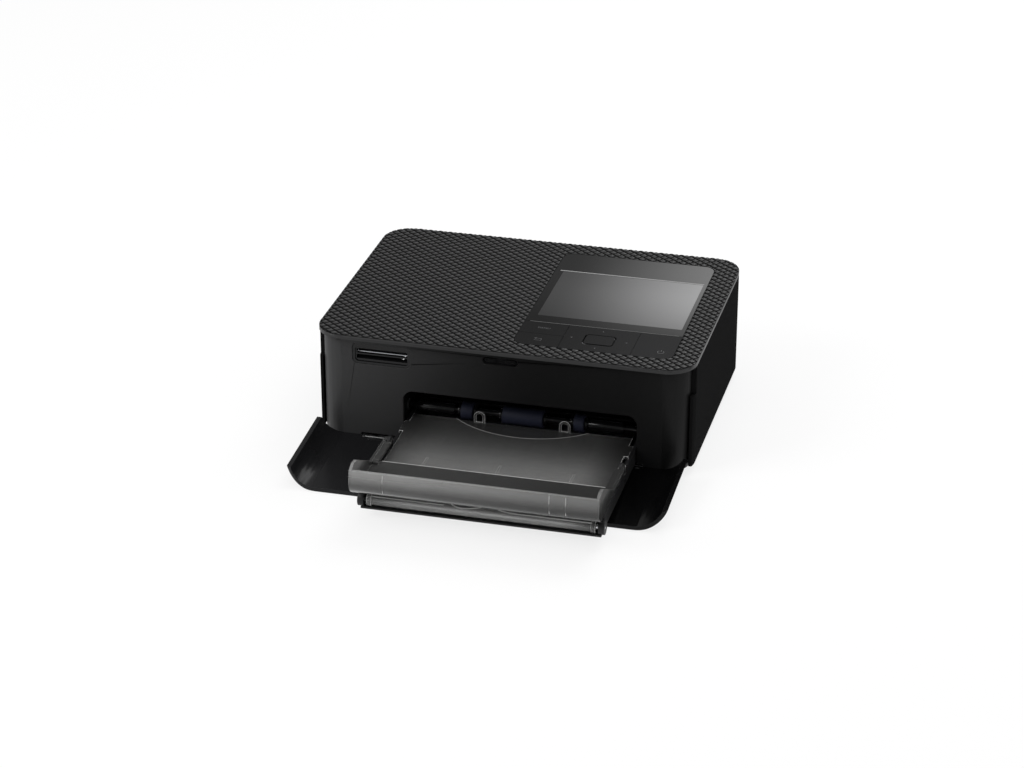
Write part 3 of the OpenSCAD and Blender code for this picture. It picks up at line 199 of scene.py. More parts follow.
def textured(name, effect, bump, depth, **settings):
    """A new finish whose gloss and relief come from a shared effect. depth is in millimetres."""
    material = bpy.data.materials.new(name)
    material.use_nodes = True
    nodes = Nodes(material.node_tree)
    out = nodes.add("ShaderNodeOutputMaterial")
    shader = nodes.add("ShaderNodeBsdfPrincipled")
    surface = nodes.add("ShaderNodeGroup", node_tree=effect)
    plain_settings(surface, **settings)
    relief = nodes.add("ShaderNodeBump")
    plain_settings(relief, Strength=bump, Distance=depth * MM)
    nodes.join(surface.outputs["Height"], relief.inputs["Height"])
    nodes.join(surface.outputs["Roughness"], shader.inputs["Roughness"])
    nodes.join(relief.outputs[0], shader.inputs["Normal"])
    nodes.join(shader.outputs[0], out.inputs[0])
    FINISH[name] = material
    return nodes, surface, shader


def plastic(name, colour, roughness, specular, grain, depth, drift=0.06, shade_drift=0.15, painted_light_fades=()):
    """Moulded plastic or rubber. grain and depth are the grain's size and height in millimetres; the fades
    paint light and shade into its colour.
    """
    nodes, surface, shader = textured(
        name,
        moulded_grain,
        bump=0.5,
        depth=depth,
        Grain_Size=grain,
        Roughness=roughness,
        Roughness_Drift=drift,
        Colour=(*colour, 1),
        Colour_Drift=shade_drift,
    )
    nodes.join(faded(nodes, surface.outputs["Colour"], painted_light_fades), shader.inputs["Base Color"])
    plain_settings(shader, Specular_IOR_Level=specular)


def metal(name, colour, roughness, spacing=0.2):
    """Bare metal with fine lines, spacing millimetres apart."""
    shader = textured(
        name, drawn_lines, bump=0.4, depth=0.004, Spacing=spacing, Roughness=roughness, Roughness_Drift=0.12
    )[-1]
    plain_settings(shader, Base_Color=(*colour, 1), Metallic=1.0)


def smoke_clear(name, colour, roughness, clear, painted_light_fades=()):
    """Milky smoke-tinted plastic, hardly uneven in itself. clear is the share of light it lets through; the
    fades paint light and shade into its colour.
    """
    nodes, surface, shader = textured(
        name,
        moulded_grain,
        bump=0.25,
        depth=0.008,
        Grain_Size=6.0,
        Roughness=roughness,
        Roughness_Drift=0.08,
        Colour=(*colour, 1),
        Colour_Drift=0.14,
    )
    nodes.join(faded(nodes, surface.outputs["Colour"], painted_light_fades), shader.inputs["Base Color"])
    plain_settings(shader, Transmission_Weight=clear, IOR=1.46)


# Painted light on the front: lighter towards the left end, darker towards the right
plastic("front_satin_painted_light", (0.018, 0.018, 0.0183), 0.42, 0.1, 0.35, 0.012, painted_light_fades=[("X", -88, 2.3, 20, 0.4)])
plastic("side_matt", (0.0085, 0.0085, 0.0087), 0.8, 0.004, 0.35, 0.012)
plastic("lozenge_black", (0.024, 0.024, 0.0245), 0.3, 0.3, 0.35, 0.006)
# Painted shade in the grooves between the lozenges: a far darker black than the lozenges
plastic("groove_painted_shade", (0.003, 0.003, 0.003), 0.6, 0.05, 0.35, 0.006)
plastic("rim_black", (0.03, 0.03, 0.0305), 0.34, 0.2, 0.5, 0.006)
plastic("black_matt", (0.012, 0.012, 0.0125), 0.5, 0.25, 0.5, 0.02)
plastic("black_gloss", (0.006, 0.006, 0.0065), 0.18, 0.25, 2.0, 0.004, drift=0.05, shade_drift=0.1)
# Painted highlights: light lines along edges of the display's window and the door
plastic("highlight_grey", (0.3, 0.3, 0.3), 0.3, 0.3, 1.0, 0.002)
plastic("highlight_faint", (0.11, 0.11, 0.11), 0.3, 0.3, 1.0, 0.002)
plastic("label_grey", (0.075, 0.075, 0.078), 0.45, 0.2, 0.6, 0.002)
plastic("mark_grey", (0.03, 0.03, 0.031), 0.45, 0.2, 0.6, 0.002)
# Painted glints on the middle key's corners
plastic("painted_glint", (0.10, 0.10, 0.105), 0.25, 0.6, 1.0, 0.002)
# Painted highlights along ridges and edges of the cassette lids
plastic("painted_highlight", (0.42, 0.42, 0.415), 0.2, 0.5, 1.0, 0.004)
plastic("roller_rubber", (0.014, 0.016, 0.030), 0.62, 0.2, 0.6, 0.03)
plastic("foot_rubber", (0.012, 0.012, 0.012), 0.75, 0.15, 0.5, 0.04)
plastic("gear_white", (0.62, 0.62, 0.57), 0.38, 0.4, 0.8, 0.008)
plastic("board_green", (0.02, 0.11, 0.05), 0.4, 0.4, 0.9, 0.02)
plastic("ribbon_black", (0.008, 0.008, 0.009), 0.4, 0.12, 0.6, 0.015)
plastic("ribbon_film", (0.38, 0.20, 0.02), 0.22, 0.5, 4.0, 0.01, drift=0.08, shade_drift=0.4)
plastic("frame_black", (0.004, 0.004, 0.0042), 0.5, 0.06, 0.5, 0.02)
# The door's rounded edges: glossier, and lighter than the door as a painted highlight
plastic("door_edge_highlight", (0.06, 0.06, 0.06), 0.12, 0.9, 2.0, 0.002, drift=0.03, shade_drift=0.1)
# Painted light on the door: lighter towards the left, darker towards the right
plastic(
    "door_gloss_painted_light",
    (0.005, 0.005, 0.0054),
    roughness=0.22,
    specular=0.16,
    grain=2.0,
    depth=0.004,
    drift=0.05,
    shade_drift=0.1,
    painted_light_fades=[("X", -60, 2.0, 60, 0.4)],
)
# Painted sheen on the display's window: near black at the left and front, grey towards the right and back
plastic(
    "window_painted_sheen",
    (0.17, 0.17, 0.17),
    roughness=0.12,
    specular=0.16,
    grain=3.0,
    depth=0.003,
    drift=0.03,
    shade_drift=0.05,
    painted_light_fades=[("X", 5, 0.09, 97, 1.05), ("Y", -6, 0.25, 84, 1.0)],
)
# Painted sheen on the picture area: dark at the left and front, light grey towards the right and back
plastic(
    "picture_painted_sheen",
    (0.34, 0.34, 0.342),
    roughness=0.14,
    specular=0.16,
    grain=3.0,
    depth=0.002,
    drift=0.03,
    shade_drift=0.05,
    painted_light_fades=[("X", 5, 0.15, 97, 1.05), ("Y", -6, 0.42, 59, 1.0)],
)
# Painted light on the keys: darker towards the left
plastic(
    "key_gloss_painted_light",
    (0.018, 0.018, 0.0185),
    roughness=0.14,
    specular=0.16,
    grain=2.0,
    depth=0.004,
    drift=0.03,
    shade_drift=0.1,
    painted_light_fades=[("X", 5, 0.25, 80, 1.0)],
)
metal("zinc_steel", (0.50, 0.51, 0.53), 0.36)
metal("bright_steel", (0.68, 0.69, 0.71), 0.16, spacing=0.15)
metal("alloy", (0.56, 0.57, 0.59), 0.34, spacing=0.3)
# Painted light on the outer lid: darker at the foot of its scoop and lighter at the top, lighter to the left
# and darker to the right
smoke_clear(
    "smoke_clear",
    (0.36, 0.36, 0.355),
    roughness=0.16,
    clear=0.66,
    painted_light_fades=[("Z", 21.5, 0.3, 29, 1.35), ("X", -48, 1.15, 66, 0.75)],
)
# Painted light and shade on the inner lid: darker towards the back and at both ends, lighter towards the
# front and over the barrel
smoke_clear(
    "smoke_lid_painted_light",
    (0.36, 0.36, 0.355),
    roughness=0.22,
    clear=0.75,
    painted_light_fades=[
        ("Y", -22, 0.4, -68, 1.35),
        ("Y", -80, 1.0, -90, 1.5),
        ("X", -46, 0.5, -24, 1.0),
        ("X", 64, 0.35, 44, 1.0),
    ],
)
# Painted shade: a dark sheet on the finger recess's floor
smoke_clear("smoke_painted_shade", (0.03, 0.03, 0.03), roughness=0.2, clear=0.2)
# Painted highlight along the finger recess's curved edge
smoke_clear("smoke_highlight", (0.30, 0.30, 0.295), roughness=0.2, clear=0.3)
# Painted highlights on the lids' rounded edges
smoke_clear("smoke_edge_highlight", (0.85, 0.85, 0.84), roughness=0.15, clear=0.25)

# The finish of each CAD node that stays in view
NODE_FINISH = {
    "main_shell": "side_matt",
    "fascia": "front_satin_painted_light",
    "bottom_cover": "black_matt",
    "feet": "foot_rubber",
    "cover_screws": "zinc_steel",
    "card_slot_frame": "black_gloss",
    "card_socket": "zinc_steel",
    "latch_catch": "black_gloss",
    "door": "door_gloss_painted_light",
    "door_pins": "bright_steel",
    "panel_frame": "black_matt",
    "panel_screws": "zinc_steel",
    "display_window": "window_painted_sheen",
    "screen_module": "black_matt",
    "key_board": "board_green",
    "menu_key": "key_gloss_painted_light",
    "back_key": "key_gloss_painted_light",
    "direction_key": "key_gloss_painted_light",
    "centre_key": "key_gloss_painted_light",
    "power_key": "key_gloss_painted_light",
    "ribbon_cover": "side_matt",
    "ribbon_cover_pins": "bright_steel",
    "cassette_base": "black_matt",
    "lift_plate": "zinc_steel",
    "lid_rod": "bright_steel",
    "inner_lid": "smoke_lid_painted_light",
    "outer_lid": "smoke_clear",
    "chassis": "frame_black",
    "shaft_bushes": "black_matt",
    "pickup_shaft": "black_gloss",
    "pickup_tyres": "roller_rubber",
    "platen_roller": "roller_rubber",
    "drive_roller": "bright_steel",
    "pinch_roller": "roller_rubber",
    "platen_gear": "gear_white",
    "idler_gear": "gear_white",
    "drive_gear": "gear_white",
    "motor_pinion": "alloy",
    "idler_post": "bright_steel",
    "motor": "alloy",
    "print_head": "alloy",
    "heat_sink": "alloy",
    "ribbon_shell": "ribbon_black",
    "takeup_spool": "ribbon_film",
    "supply_spool": "ribbon_film",
    "main_board": "board_green",
    "power_inlet": "black_matt",
    "usb_socket": "bright_steel",
    "paper_guide": "frame_black",
}

# Width of the broken edges, in millimetres: the usual one, and where it differs
EDGE = 0.25
NODE_EDGE = {
    "fascia": 0.5,
    "main_shell": 0.3,
    "door": 0.7,
    "display_window": 0.12,
    "menu_key": 0.12,
    "back_key": 0.12,
    "direction_key": 0.12,
    "centre_key": 0.15,
    "power_key": 0.12,
    "card_slot_frame": 0.2,
    "latch_catch": 0.3,
    "inner_lid": 0.4,
    "outer_lid": 0.4,
    "ribbon_cover": 0.3,
}
# The finish of the broken edges, where they stand out: lighter than the rest, as painted highlights
EDGE_FINISH = {"inner_lid": "smoke_edge_highlight", "outer_lid": "smoke_edge_highlight", "door": "door_edge_highlight"}
# Hidden nodes whose edges stay sharp
NO_EDGE = {"platen_gear", "idler_gear", "drive_gear", "motor_pinion", "key_board", "main_board", "heat_sink"}
WELD = 0.002  # triangles' corners nearer than this are joined, in millimetres
SHARP_ANGLE = 38  # edges that turn by more degrees are broken


def break_edges(node, width, finish):
    """Joins the node's triangles and rounds its sharp edges, as a mould does."""
    weld = node.modifiers.new("weld", "WELD")
    weld.merge_threshold = WELD * MM
    bevel = node.modifiers.new("edge", "BEVEL")
    bevel.width = width * MM
    bevel.segments = 2
    bevel.limit_method = "ANGLE"
    bevel.angle_limit = math.radians(SHARP_ANGLE)
    bevel.use_clamp_overlap = True
    bevel.harden_normals = True
    # A given finish colours the rounded edges as painted highlights
    if finish:
        node.data.materials.append(FINISH[finish])
        bevel.material = 1


def dress_cad_nodes():
    for name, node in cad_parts.items():
        if name not in NODE_FINISH:
            continue
        node.data.materials.clear()
        node.data.materials.append(FINISH[NODE_FINISH[name]])
        if name not in NO_EDGE:
            break_edges(node, NODE_EDGE.get(name, EDGE), EDGE_FINISH.get(name))


# ---------------------------------------------------------------- making pieces


def finished(name, mesh, body, finish, smooth=30.0, replaces=()):
    """Turns a mesh whose place is in its vertices into a piece that rides on a body."""
    piece = bpy.data.objects.new(name, mesh)
    bpy.context.scene.collection.objects.link(piece)
    if not mesh.materials:
        mesh.materials.append(FINISH[finish])
    mesh.polygons.foreach_set("use_smooth", [True] * len(mesh.polygons))
    mesh.set_sharp_from_angle(angle=math.radians(smooth))
    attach(piece, body)
    if replaces:
        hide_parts(*replaces)
    return piece


def to_mesh(bm, name):
    bmesh.ops.recalc_face_normals(bm, faces=bm.faces[:])
    mesh = bpy.data.meshes.new(name)
    bm.to_mesh(mesh)
    bm.free()
    return mesh


def is_vertex(part):
    return isinstance(part, bmesh.types.BMVert)


def add_block(bm, low, high, corner=0.0):
    """Adds a box between two corners. Its upright edges are rounded where corner is given."""
    made = bmesh.ops.create_cube(bm, size=1.0)["verts"]
    low, high = placed(*low), placed(*high)
    size, middle = high - low, (high + low) / 2
    bmesh.ops.scale(bm, vec=size, verts=made)
    bmesh.ops.translate(bm, vec=middle, verts=made)
    if not corner:
        return
    edges = {edge for vertex in made for edge in vertex.link_edges}
    upright = [edge for edge in edges if abs((edge.verts[0].co - edge.verts[1].co).z) > size.z * 0.9]
    bmesh.ops.bevel(
        bm, geom=upright, offset=corner * MM, affect="EDGES", segments=4, profile=0.5, material=-1
    )


def meshed(curve_object):
    """The mesh of a curve or text object, which is removed."""
    bpy.context.scene.collection.objects.link(curve_object)
    bpy.context.view_layer.update()
    shape = curve_object.evaluated_get(bpy.context.evaluated_depsgraph_get())
    mesh = bpy.data.meshes.new_from_object(shape)
    bpy.data.objects.remove(curve_object)
    mesh.materials.clear()
    return mesh


# ---------------------------------------------------------------- embossed top

TOP = 57.6
HALF_PITCH_X = 2.6
HALF_PITCH_Y = 2.125
GROOVE = ((0.27, 0.03), (0.27, 0.22))  # widths and rises of the groove's flank, painted darker as shade
CROWN = ((0.3, 0.12),)  # and of the lozenge's rounded shoulder
PEAK = 0.03
RELIEF = sum(rise for width, rise in GROOVE + CROWN) + PEAK
BODY_HALF_W = 91.1
BODY_DEPTH = 133.0
GRID_CELLS = 72  # enough lozenges to cover the top
MARGIN = 3.5  # how far the net runs past the top's edges
SLAB = 8.0
TOP_EDGE = 0.35


def lozenge_slab():
    """A thick slab whose upper face is a net of rounded lozenges."""
    bm = bmesh.new()
    bmesh.ops.create_grid(bm, x_segments=GRID_CELLS, y_segments=GRID_CELLS, size=GRID_CELLS / 2)
    turn = Matrix.Rotation(math.radians(45), 4, "Z")
    bmesh.ops.transform(bm, matrix=turn, verts=bm.verts)
    stretch = Vector((math.sqrt(2) * HALF_PITCH_X, math.sqrt(2) * HALF_PITCH_Y, 1))
    bmesh.ops.scale(bm, vec=stretch, verts=bm.verts)
    middle_row = 2 * HALF_PITCH_Y * round(BODY_DEPTH / 4 / HALF_PITCH_Y)
    bmesh.ops.translate(bm, vec=(HALF_PITCH_X, middle_row, TOP - RELIEF), verts=bm.verts)
    outside = [
        face
        for face in bm.faces
        if abs(face.calc_center_median().x) > BODY_HALF_W + MARGIN
        or not -MARGIN < face.calc_center_median().y < BODY_DEPTH + MARGIN
    ]
    bmesh.ops.delete(bm, geom=outside, context="FACES")
    for vertex in bm.verts:
        vertex.co = placed(*vertex.co)
    lozenges = bm.faces[:]
    for inset, rise in GROOVE + CROWN:
        bmesh.ops.inset_individual(
            bm, faces=lozenges, thickness=inset * MM, depth=rise * MM, use_even_offset=True
        )
    bmesh.ops.poke(bm, faces=lozenges, offset=PEAK * MM)
    rim = [edge for edge in bm.edges if edge.is_boundary]
    down = bmesh.ops.extrude_edge_only(bm, edges=rim)["geom"]
    for vertex in filter(is_vertex, down):
        vertex.co.z = placed(0, 0, TOP - SLAB).z
    lower_rim = [part for part in down if isinstance(part, bmesh.types.BMEdge) and part.is_boundary]
    bmesh.ops.edgeloop_fill(bm, edges=lower_rim)
    bmesh.ops.triangulate(bm, faces=[face for face in bm.faces if len(face.verts) > 4])
    return to_mesh(bm, "lozenge_slab")


def bevelled_cover():
    """A copy of the CAD cover with its outer upper edge rounded."""
    bm = bmesh.new()
    bm.from_mesh(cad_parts["top_cover"].data)
    bmesh.ops.remove_doubles(bm, verts=bm.verts, dist=WELD * MM)
    bmesh.ops.dissolve_limit(bm, angle_limit=math.radians(0.3), verts=bm.verts, edges=bm.edges)
    top = placed(0, 0, TOP).z
    outline = []
    for edge in bm.edges:
        if min(v.co.z for v in edge.verts) < top - 1e-5 or len(edge.link_faces) != 2:
            continue
        if edge.calc_face_angle(0) > math.radians(60):
            outline.append(edge)
    bmesh.ops.bevel(
        bm, geom=outline, offset=TOP_EDGE * MM, affect="EDGES", segments=2, profile=0.5, material=-1
    )
    return to_mesh(bm, "bevelled_cover")


def embossed_top():
    """The net of lozenges cut to the cover's shape, with a finish each for lozenges, grooves and the rest;
    the grooves' far darker black is painted shade.
    """
    slab = bpy.data.objects.new("lozenge_slab", lozenge_slab())
    cover = bpy.data.objects.new("cover_copy", bevelled_cover())
    for helper in (slab, cover):
        bpy.context.scene.collection.objects.link(helper)
    cut = slab.modifiers.new("cut", "BOOLEAN")
    cut.operation = "INTERSECT"
    cut.solver = "EXACT"
    cut.object = cover
    bpy.context.view_layer.update()
    shape = slab.evaluated_get(bpy.context.evaluated_depsgraph_get())
    mesh = bpy.data.meshes.new_from_object(shape)
    mesh.name = "embossed_top"
    bpy.data.objects.remove(slab)
    bpy.data.objects.remove(cover)
    mesh.materials.clear()
    for finish in ("lozenge_black", "groove_painted_shade", "rim_black"):
        mesh.materials.append(FINISH[finish])
    ledge = placed(0, 0, TOP - RELIEF + sum(rise for width, rise in GROOVE)).z - 0.01 * MM
    ground = placed(0, 0, TOP - RELIEF - 0.05).z
    # Faces low in the grooves take the painted shade
    for face in mesh.polygons:
        lowest = min(mesh.vertices[i].co.z for i in face.vertices)
        face.material_index = 0 if lowest > ledge else 1 if lowest > ground else 2
    return finished(
        "embossed_top", mesh, "printer", "lozenge_black", smooth=50.0, replaces=("top_cover",)
    )


# ---------------------------------------------------------------- control panel

# The panel's face, and how far each print, and each mark of painted highlight or sheen, goes below and above
# it
PANEL_FACE = 57.45
PRINT_BELOW = 0.1
PRINT = 0.03
PRINT_LOW = PANEL_FACE - PRINT_BELOW
PRINT_HIGH = PANEL_FACE + PRINT
PICTURE = ((7.4, 45.0), (77.4, 98.4))
LINE_LEFT, LINE_RIGHT = 5.6, 77.6
TEXT_SIZE = 1.4  # the built-in letters' size over their height
POWER_MIDDLE = (72.75, 18.4)
BACK_MIDDLE = (14.25, 18.4)
# Each direction mark's middle, and the angle it points along
DIRECTIONS = ((28.9, 24.3, 90), (55.3, 24.3, -90), (42.1, 33.6, 0), (42.1, 15.0, 180))


# The display's picture area, coloured with painted sheen
def picture_area():
    bm = bmesh.new()
    add_block(bm, (*PICTURE[0], PRINT_LOW), (*PICTURE[1], PRINT_HIGH), corner=0.6)
    return finished("picture_area", to_mesh(bm, "picture_area"), "printer", "picture_painted_sheen")


def panel_highlight_line(name, y, width, finish):
    """A thin light line across the display's window, painted as the highlight along an edge."""
    bm = bmesh.new()
    add_block(bm, (LINE_LEFT, y - width / 2, PRINT_LOW), (LINE_RIGHT, y + width / 2, PRINT_HIGH))
    return finished(name, to_mesh(bm, name), "printer", finish)


def word(name, body, text, x, y, height, finish):
    """A generic key label, made from the built-in letters and laid flat on the panel."""
    curve = bpy.data.curves.new(name, "FONT")
    curve.body = text
    curve.size = height * MM * TEXT_SIZE
    curve.align_x = "CENTER"
    curve.align_y = "CENTER"
    curve.extrude = PRINT * MM / 2
    curve.space_character = 1.1
    mesh = meshed(bpy.data.objects.new(name + "_letters", curve))
    mesh.transform(Matrix.Translation(placed(x, y, PANEL_FACE + PRINT / 2)))
    return finished(name, mesh, body, finish)


def add_arc(bm, x, y, radius, width, start, end, steps):
    """Adds a flat bent bar, from one angle to another: a square section spun about an upright axis."""
    centre = placed(x, y, 0)
    inner, outer = radius - width / 2, radius + width / 2
    section = ((inner, PRINT_LOW), (outer, PRINT_LOW), (outer, PRINT_HIGH), (inner, PRINT_HIGH))
    corners = [bm.verts.new(placed(x + r, y, z)) for r, z in section]
    face = bm.faces.new(corners)
    bmesh.ops.rotate(bm, cent=centre, matrix=Matrix.Rotation(math.radians(start), 3, "Z"), verts=corners)
    made = bmesh.ops.spin(
        bm,
        geom=[face, *face.edges, *face.verts],
        cent=centre,
        axis=(0, 0, 1),
        angle=math.radians(end - start),
        steps=steps,
        use_duplicate=False,
    )
    if not any(isinstance(part, bmesh.types.BMFace) for part in made["geom_last"]):
        bm.faces.new(filter(is_vertex, made["geom_last"]))


def power_mark():
    bm = bmesh.new()
    x, y = POWER_MIDDLE
    add_arc(bm, x, y, radius=1.5, width=0.32, start=125, end=415, steps=24)
    add_block(bm, (x - 0.16, y + 0.3, PRINT_LOW), (x + 0.16, y + 2.1, PRINT_HIGH))
    return finished("power_mark", to_mesh(bm, "power_mark"), "power_key_body", "label_grey")


def add_wedge(bm, x, y, size, angle):
    """Adds a small flat triangle that points along angle."""
    thick = PRINT_BELOW + PRINT
    made = bmesh.ops.create_cone(
        bm, cap_ends=True, segments=3, radius1=size * MM, radius2=size * MM, depth=thick * MM
    )["verts"]
    bmesh.ops.rotate(bm, cent=(0, 0, 0), matrix=Matrix.Rotation(math.radians(angle), 3, "Z"), verts=made)
    bmesh.ops.translate(bm, vec=placed(x, y, PRINT_HIGH - thick / 2), verts=made)


def direction_marks():
    bm = bmesh.new()
    for x, y, angle in DIRECTIONS:
        add_wedge(bm, x, y, 0.62, angle)
    mesh = to_mesh(bm, "direction_marks")
    return finished("direction_marks", mesh, "direction_key_body", "label_grey")


def back_mark():
    """A bent arrow that points to the left."""
    bm = bmesh.new()
    x, y = BACK_MIDDLE
    for x0, y0, x1, y1 in ((-1.2, 0.75, 1.6, 1.0), (1.35, -0.95, 1.6, 0.9), (-1.9, -1.2, 1.6, -0.95)):
        add_block(bm, (x + x0, y + y0, PRINT_LOW), (x + x1, y + y1, PRINT_HIGH))
    add_wedge(bm, x - 1.5, y + 0.87, 0.75, 90)
    return finished("back_mark", to_mesh(bm, "back_mark"), "back_key_body", "label_grey")


def card_mark():
    """Raised outline of a memory card with one cut corner, beside the slot."""
    bm = bmesh.new()
    left, right, low, high, cut = -77.5, -74.6, 46.2, 51.0, 0.8
    face_y, line, rise = 2.35, 0.3, 0.12
    outline = [(left, low), (right, low), (right, high - cut), (right - cut, high), (left, high)]
    face = bm.faces.new([bm.verts.new(placed(x, face_y, z)) for x, z in outline])
    bm.normal_update()
    bmesh.ops.inset_region(bm, faces=[face], thickness=line * MM, use_boundary=True, use_even_offset=True)
    bmesh.ops.delete(bm, geom=[face], context="FACES_ONLY")
    out = bmesh.ops.extrude_face_region(bm, geom=bm.faces[:])["geom"]
    bmesh.ops.translate(bm, vec=(0, -rise * MM, 0), verts=list(filter(is_vertex, out)))
    return finished("card_mark", to_mesh(bm, "card_mark"), "printer", "mark_grey")


def bead(name, body, finish, points, radius):
    """A thin round ridge through points of the body's frame."""
    curve = bpy.data.curves.new(name, "CURVE")
    curve.dimensions = "3D"
    curve.bevel_depth = radius * MM
    curve.bevel_resolution = 2
    curve.use_fill_caps = True
    line = curve.splines.new("BEZIER")
    line.bezier_points.add(len(points) - 1)
    for knot, point in zip(line.bezier_points, points):
        knot.co = placed(*point)
        knot.handle_left_type = knot.handle_right_type = "AUTO"
    line.resolution_u = 6
    mesh = meshed(bpy.data.objects.new(name + "_line", curve))
    return finished(name, mesh, body, finish)


# ---------------------------------------------------------------- cassette lids and door

# Front of the inner lid's barrel, where its ridges of painted highlight lie
BARREL_Y = -68.3
BARREL_Z = 11.4


def grip_highlight():
    """Painted highlight along the wavy moulded grip on the inner lid's front, which runs out into a ridge to
    the right.
    """
    wave = [(-5.8, 2.0, 1.3), (-4.4, 0.8, 0.5), (-0.6, -0.1, -0.3), (4.5, 0, 0), (9, 0.8, 0.7)]
    wave += [(12.8, 1.5, 1.4), (15.6, 1.0, 1.2), (18.6, 0.3, 0.5), (24, 0, 0.1)]
    wave += [(34, 0, 0), (46, 0, 0), (60.5, 0, 0)]
    points = [(x, BARREL_Y + y, BARREL_Z + z) for x, y, z in wave]
    return bead("grip_highlight", "inner_lid_body", "painted_highlight", points, 0.3)


def barrel_highlight():
    """Painted highlight on the straight ridge to the left of the grip."""
    ends = [(x, BARREL_Y, BARREL_Z + 0.1) for x in (-42, -24, -8)]
    return bead("barrel_highlight", "inner_lid_body", "painted_highlight", ends, 0.25)


# Outer lid: back edge of its plate, and the upright front of its scoop
PLATE_BACK = -46.0
PLATE_TOP = 18.0
SCOOP_FRONT = ((-80.7, 20.4), (-81.2, 22.2), (-81.42, 24.4), (-80.75, 29.3))
TICKS_X = (-32.8, 43.9, 51.4)


def plate_edge_highlight():
    """Painted highlight along the cut edge at the back of the outer lid's plate."""
    ends = [(x, PLATE_BACK, PLATE_TOP - 0.05) for x in (-43.5, 9, 61.5)]
    return bead("plate_edge_highlight", "outer_lid_body", "painted_highlight", ends, 0.22)


def scoop_tick_highlights():
    """Lines of painted highlight where the ribs meet the scoop's front."""
    for number, x in enumerate(TICKS_X):
        points = [(x, y, z) for y, z in SCOOP_FRONT]
        bead(f"scoop_tick_{number}", "outer_lid_body", "painted_highlight", points, 0.17)


# The finger recess in the inner lid's back edge: an arc, and how far its floor lies under the top
LID_TOP = 15.8
LID_BACK = 9.3
RECESS_RADIUS = 47.5
RECESS_DEPTH = 12.6
RECESS_FLOOR = 0.52
FLOOR_SKIN = 0.06
PAPER_X = 9.0


def recess_points(steps):
    """Points of the finger recess's curved edge, from left to right."""
    centre = LID_BACK - RECESS_DEPTH + RECESS_RADIUS
    reach = math.acos((RECESS_RADIUS - RECESS_DEPTH) / RECESS_RADIUS)
    turns = [reach * (2 * i / steps - 1) for i in range(steps + 1)]
    return [(PAPER_X + RECESS_RADIUS * math.sin(t), centre - RECESS_RADIUS * math.cos(t)) for t in turns]


# A line of painted highlight along the finger recess's curved edge
def recess_rim_highlight():
    points = [(x, y, LID_TOP - 0.1) for x, y in recess_points(12)]
    return bead("recess_rim_highlight", "inner_lid_body", "smoke_highlight", points, 0.25)


def recess_shade():
    """A thin dark sheet on the finger recess's floor, as painted shade."""
    bm = bmesh.new()
    level = LID_TOP - RECESS_FLOOR
    face = bm.faces.new([bm.verts.new(placed(x, y, level)) for x, y in recess_points(24)])
    up = bmesh.ops.extrude_face_region(bm, geom=[face])["geom"]
    bmesh.ops.translate(bm, vec=(0, 0, FLOOR_SKIN * MM), verts=list(filter(is_vertex, up)))
    mesh = to_mesh(bm, "recess_shade")
    return finished("recess_shade", mesh, "inner_lid_body", "smoke_painted_shade")


def hinge_glint():
    """Painted highlight along the door's edge over its left knuckle."""
    ends = [(x, -0.4, 5.75) for x in (-65.8, -58, -50.8)]
    return bead("hinge_glint", "door_body", "highlight_grey", ends, 0.25)


def key_glints():
    """Painted glints on corners round the middle key."""
    bm = bmesh.new()
    for x, y, start in ((36.9, 20.2, 180), (47.2, 26.2, 0)):
        add_arc(bm, x, y, radius=1.9, width=0.3, start=start, end=start + 90, steps=6)
    mesh = to_mesh(bm, "key_glints")
    return finished("key_glints", mesh, "direction_key_body", "painted_glint")


# ---------------------------------------------------------------- stage

# The camera, fitted to the photograph: lens for a 36 mm sensor, angles, distance and aim in the body's frame
LENS = 102.54
AZIMUTH = math.radians(14.346)
ELEVATION = math.radians(25.806)
DISTANCE = 1426.4
AIM = Vector((-9.052, 60.0, 11.799))
# The world's grey by the height that a ray points to
CEILING = ((0.0, 0.35), (0.40, 0.22), (0.62, 0.35), (1.0, 1.0))
# Heights between which the white backdrop fades out
BACKDROP_TOP = 0.30
BACKDROP_FULL = 0.12
# Share of the floor's white that is seen without light on it
FLOOR_GLOW = 0.8

def camera():
    """Stands where the photograph was taken from."""
    data = bpy.data.cameras.new("camera")
    data.sensor_width = 36.0
    data.lens = LENS
    data.clip_start = 0.05
    data.clip_end = 20.0
    view = bpy.data.objects.new("camera", data)
    bpy.context.scene.collection.objects.link(view)
    level = math.cos(ELEVATION)
    away = Vector((math.sin(AZIMUTH) * level, -math.cos(AZIMUTH) * level, math.sin(ELEVATION)))
    spot = AIM + away * DISTANCE
    view.location = placed(*spot)
    view.rotation_euler = (-away).to_track_quat("-Z", "Y").to_euler()
    bpy.context.scene.camera = view


def lamp(name, spot, aim, size, power):
    """A square lamp that faces its aim, with lengths in metres."""
    data = bpy.data.lights.new(name, "AREA")
    data.shape = "SQUARE"
    data.size = size
    data.energy = power
    light = bpy.data.objects.new(name, data)
    bpy.context.scene.collection.objects.link(light)
    light.location = spot
    light.rotation_euler = (Vector(aim) - Vector(spot)).to_track_quat("-Z", "Y").to_euler()


def seen_directly(nodes):
    """1 for rays from the camera, from gloss and through clear pieces, else 0."""
    path = nodes.add("ShaderNodeLightPath")
    first = nodes.math("MAXIMUM", path.outputs["Is Camera Ray"], path.outputs["Is Glossy Ray"])
    return nodes.math("MAXIMUM", first, path.outputs["Is Transmission Ray"])


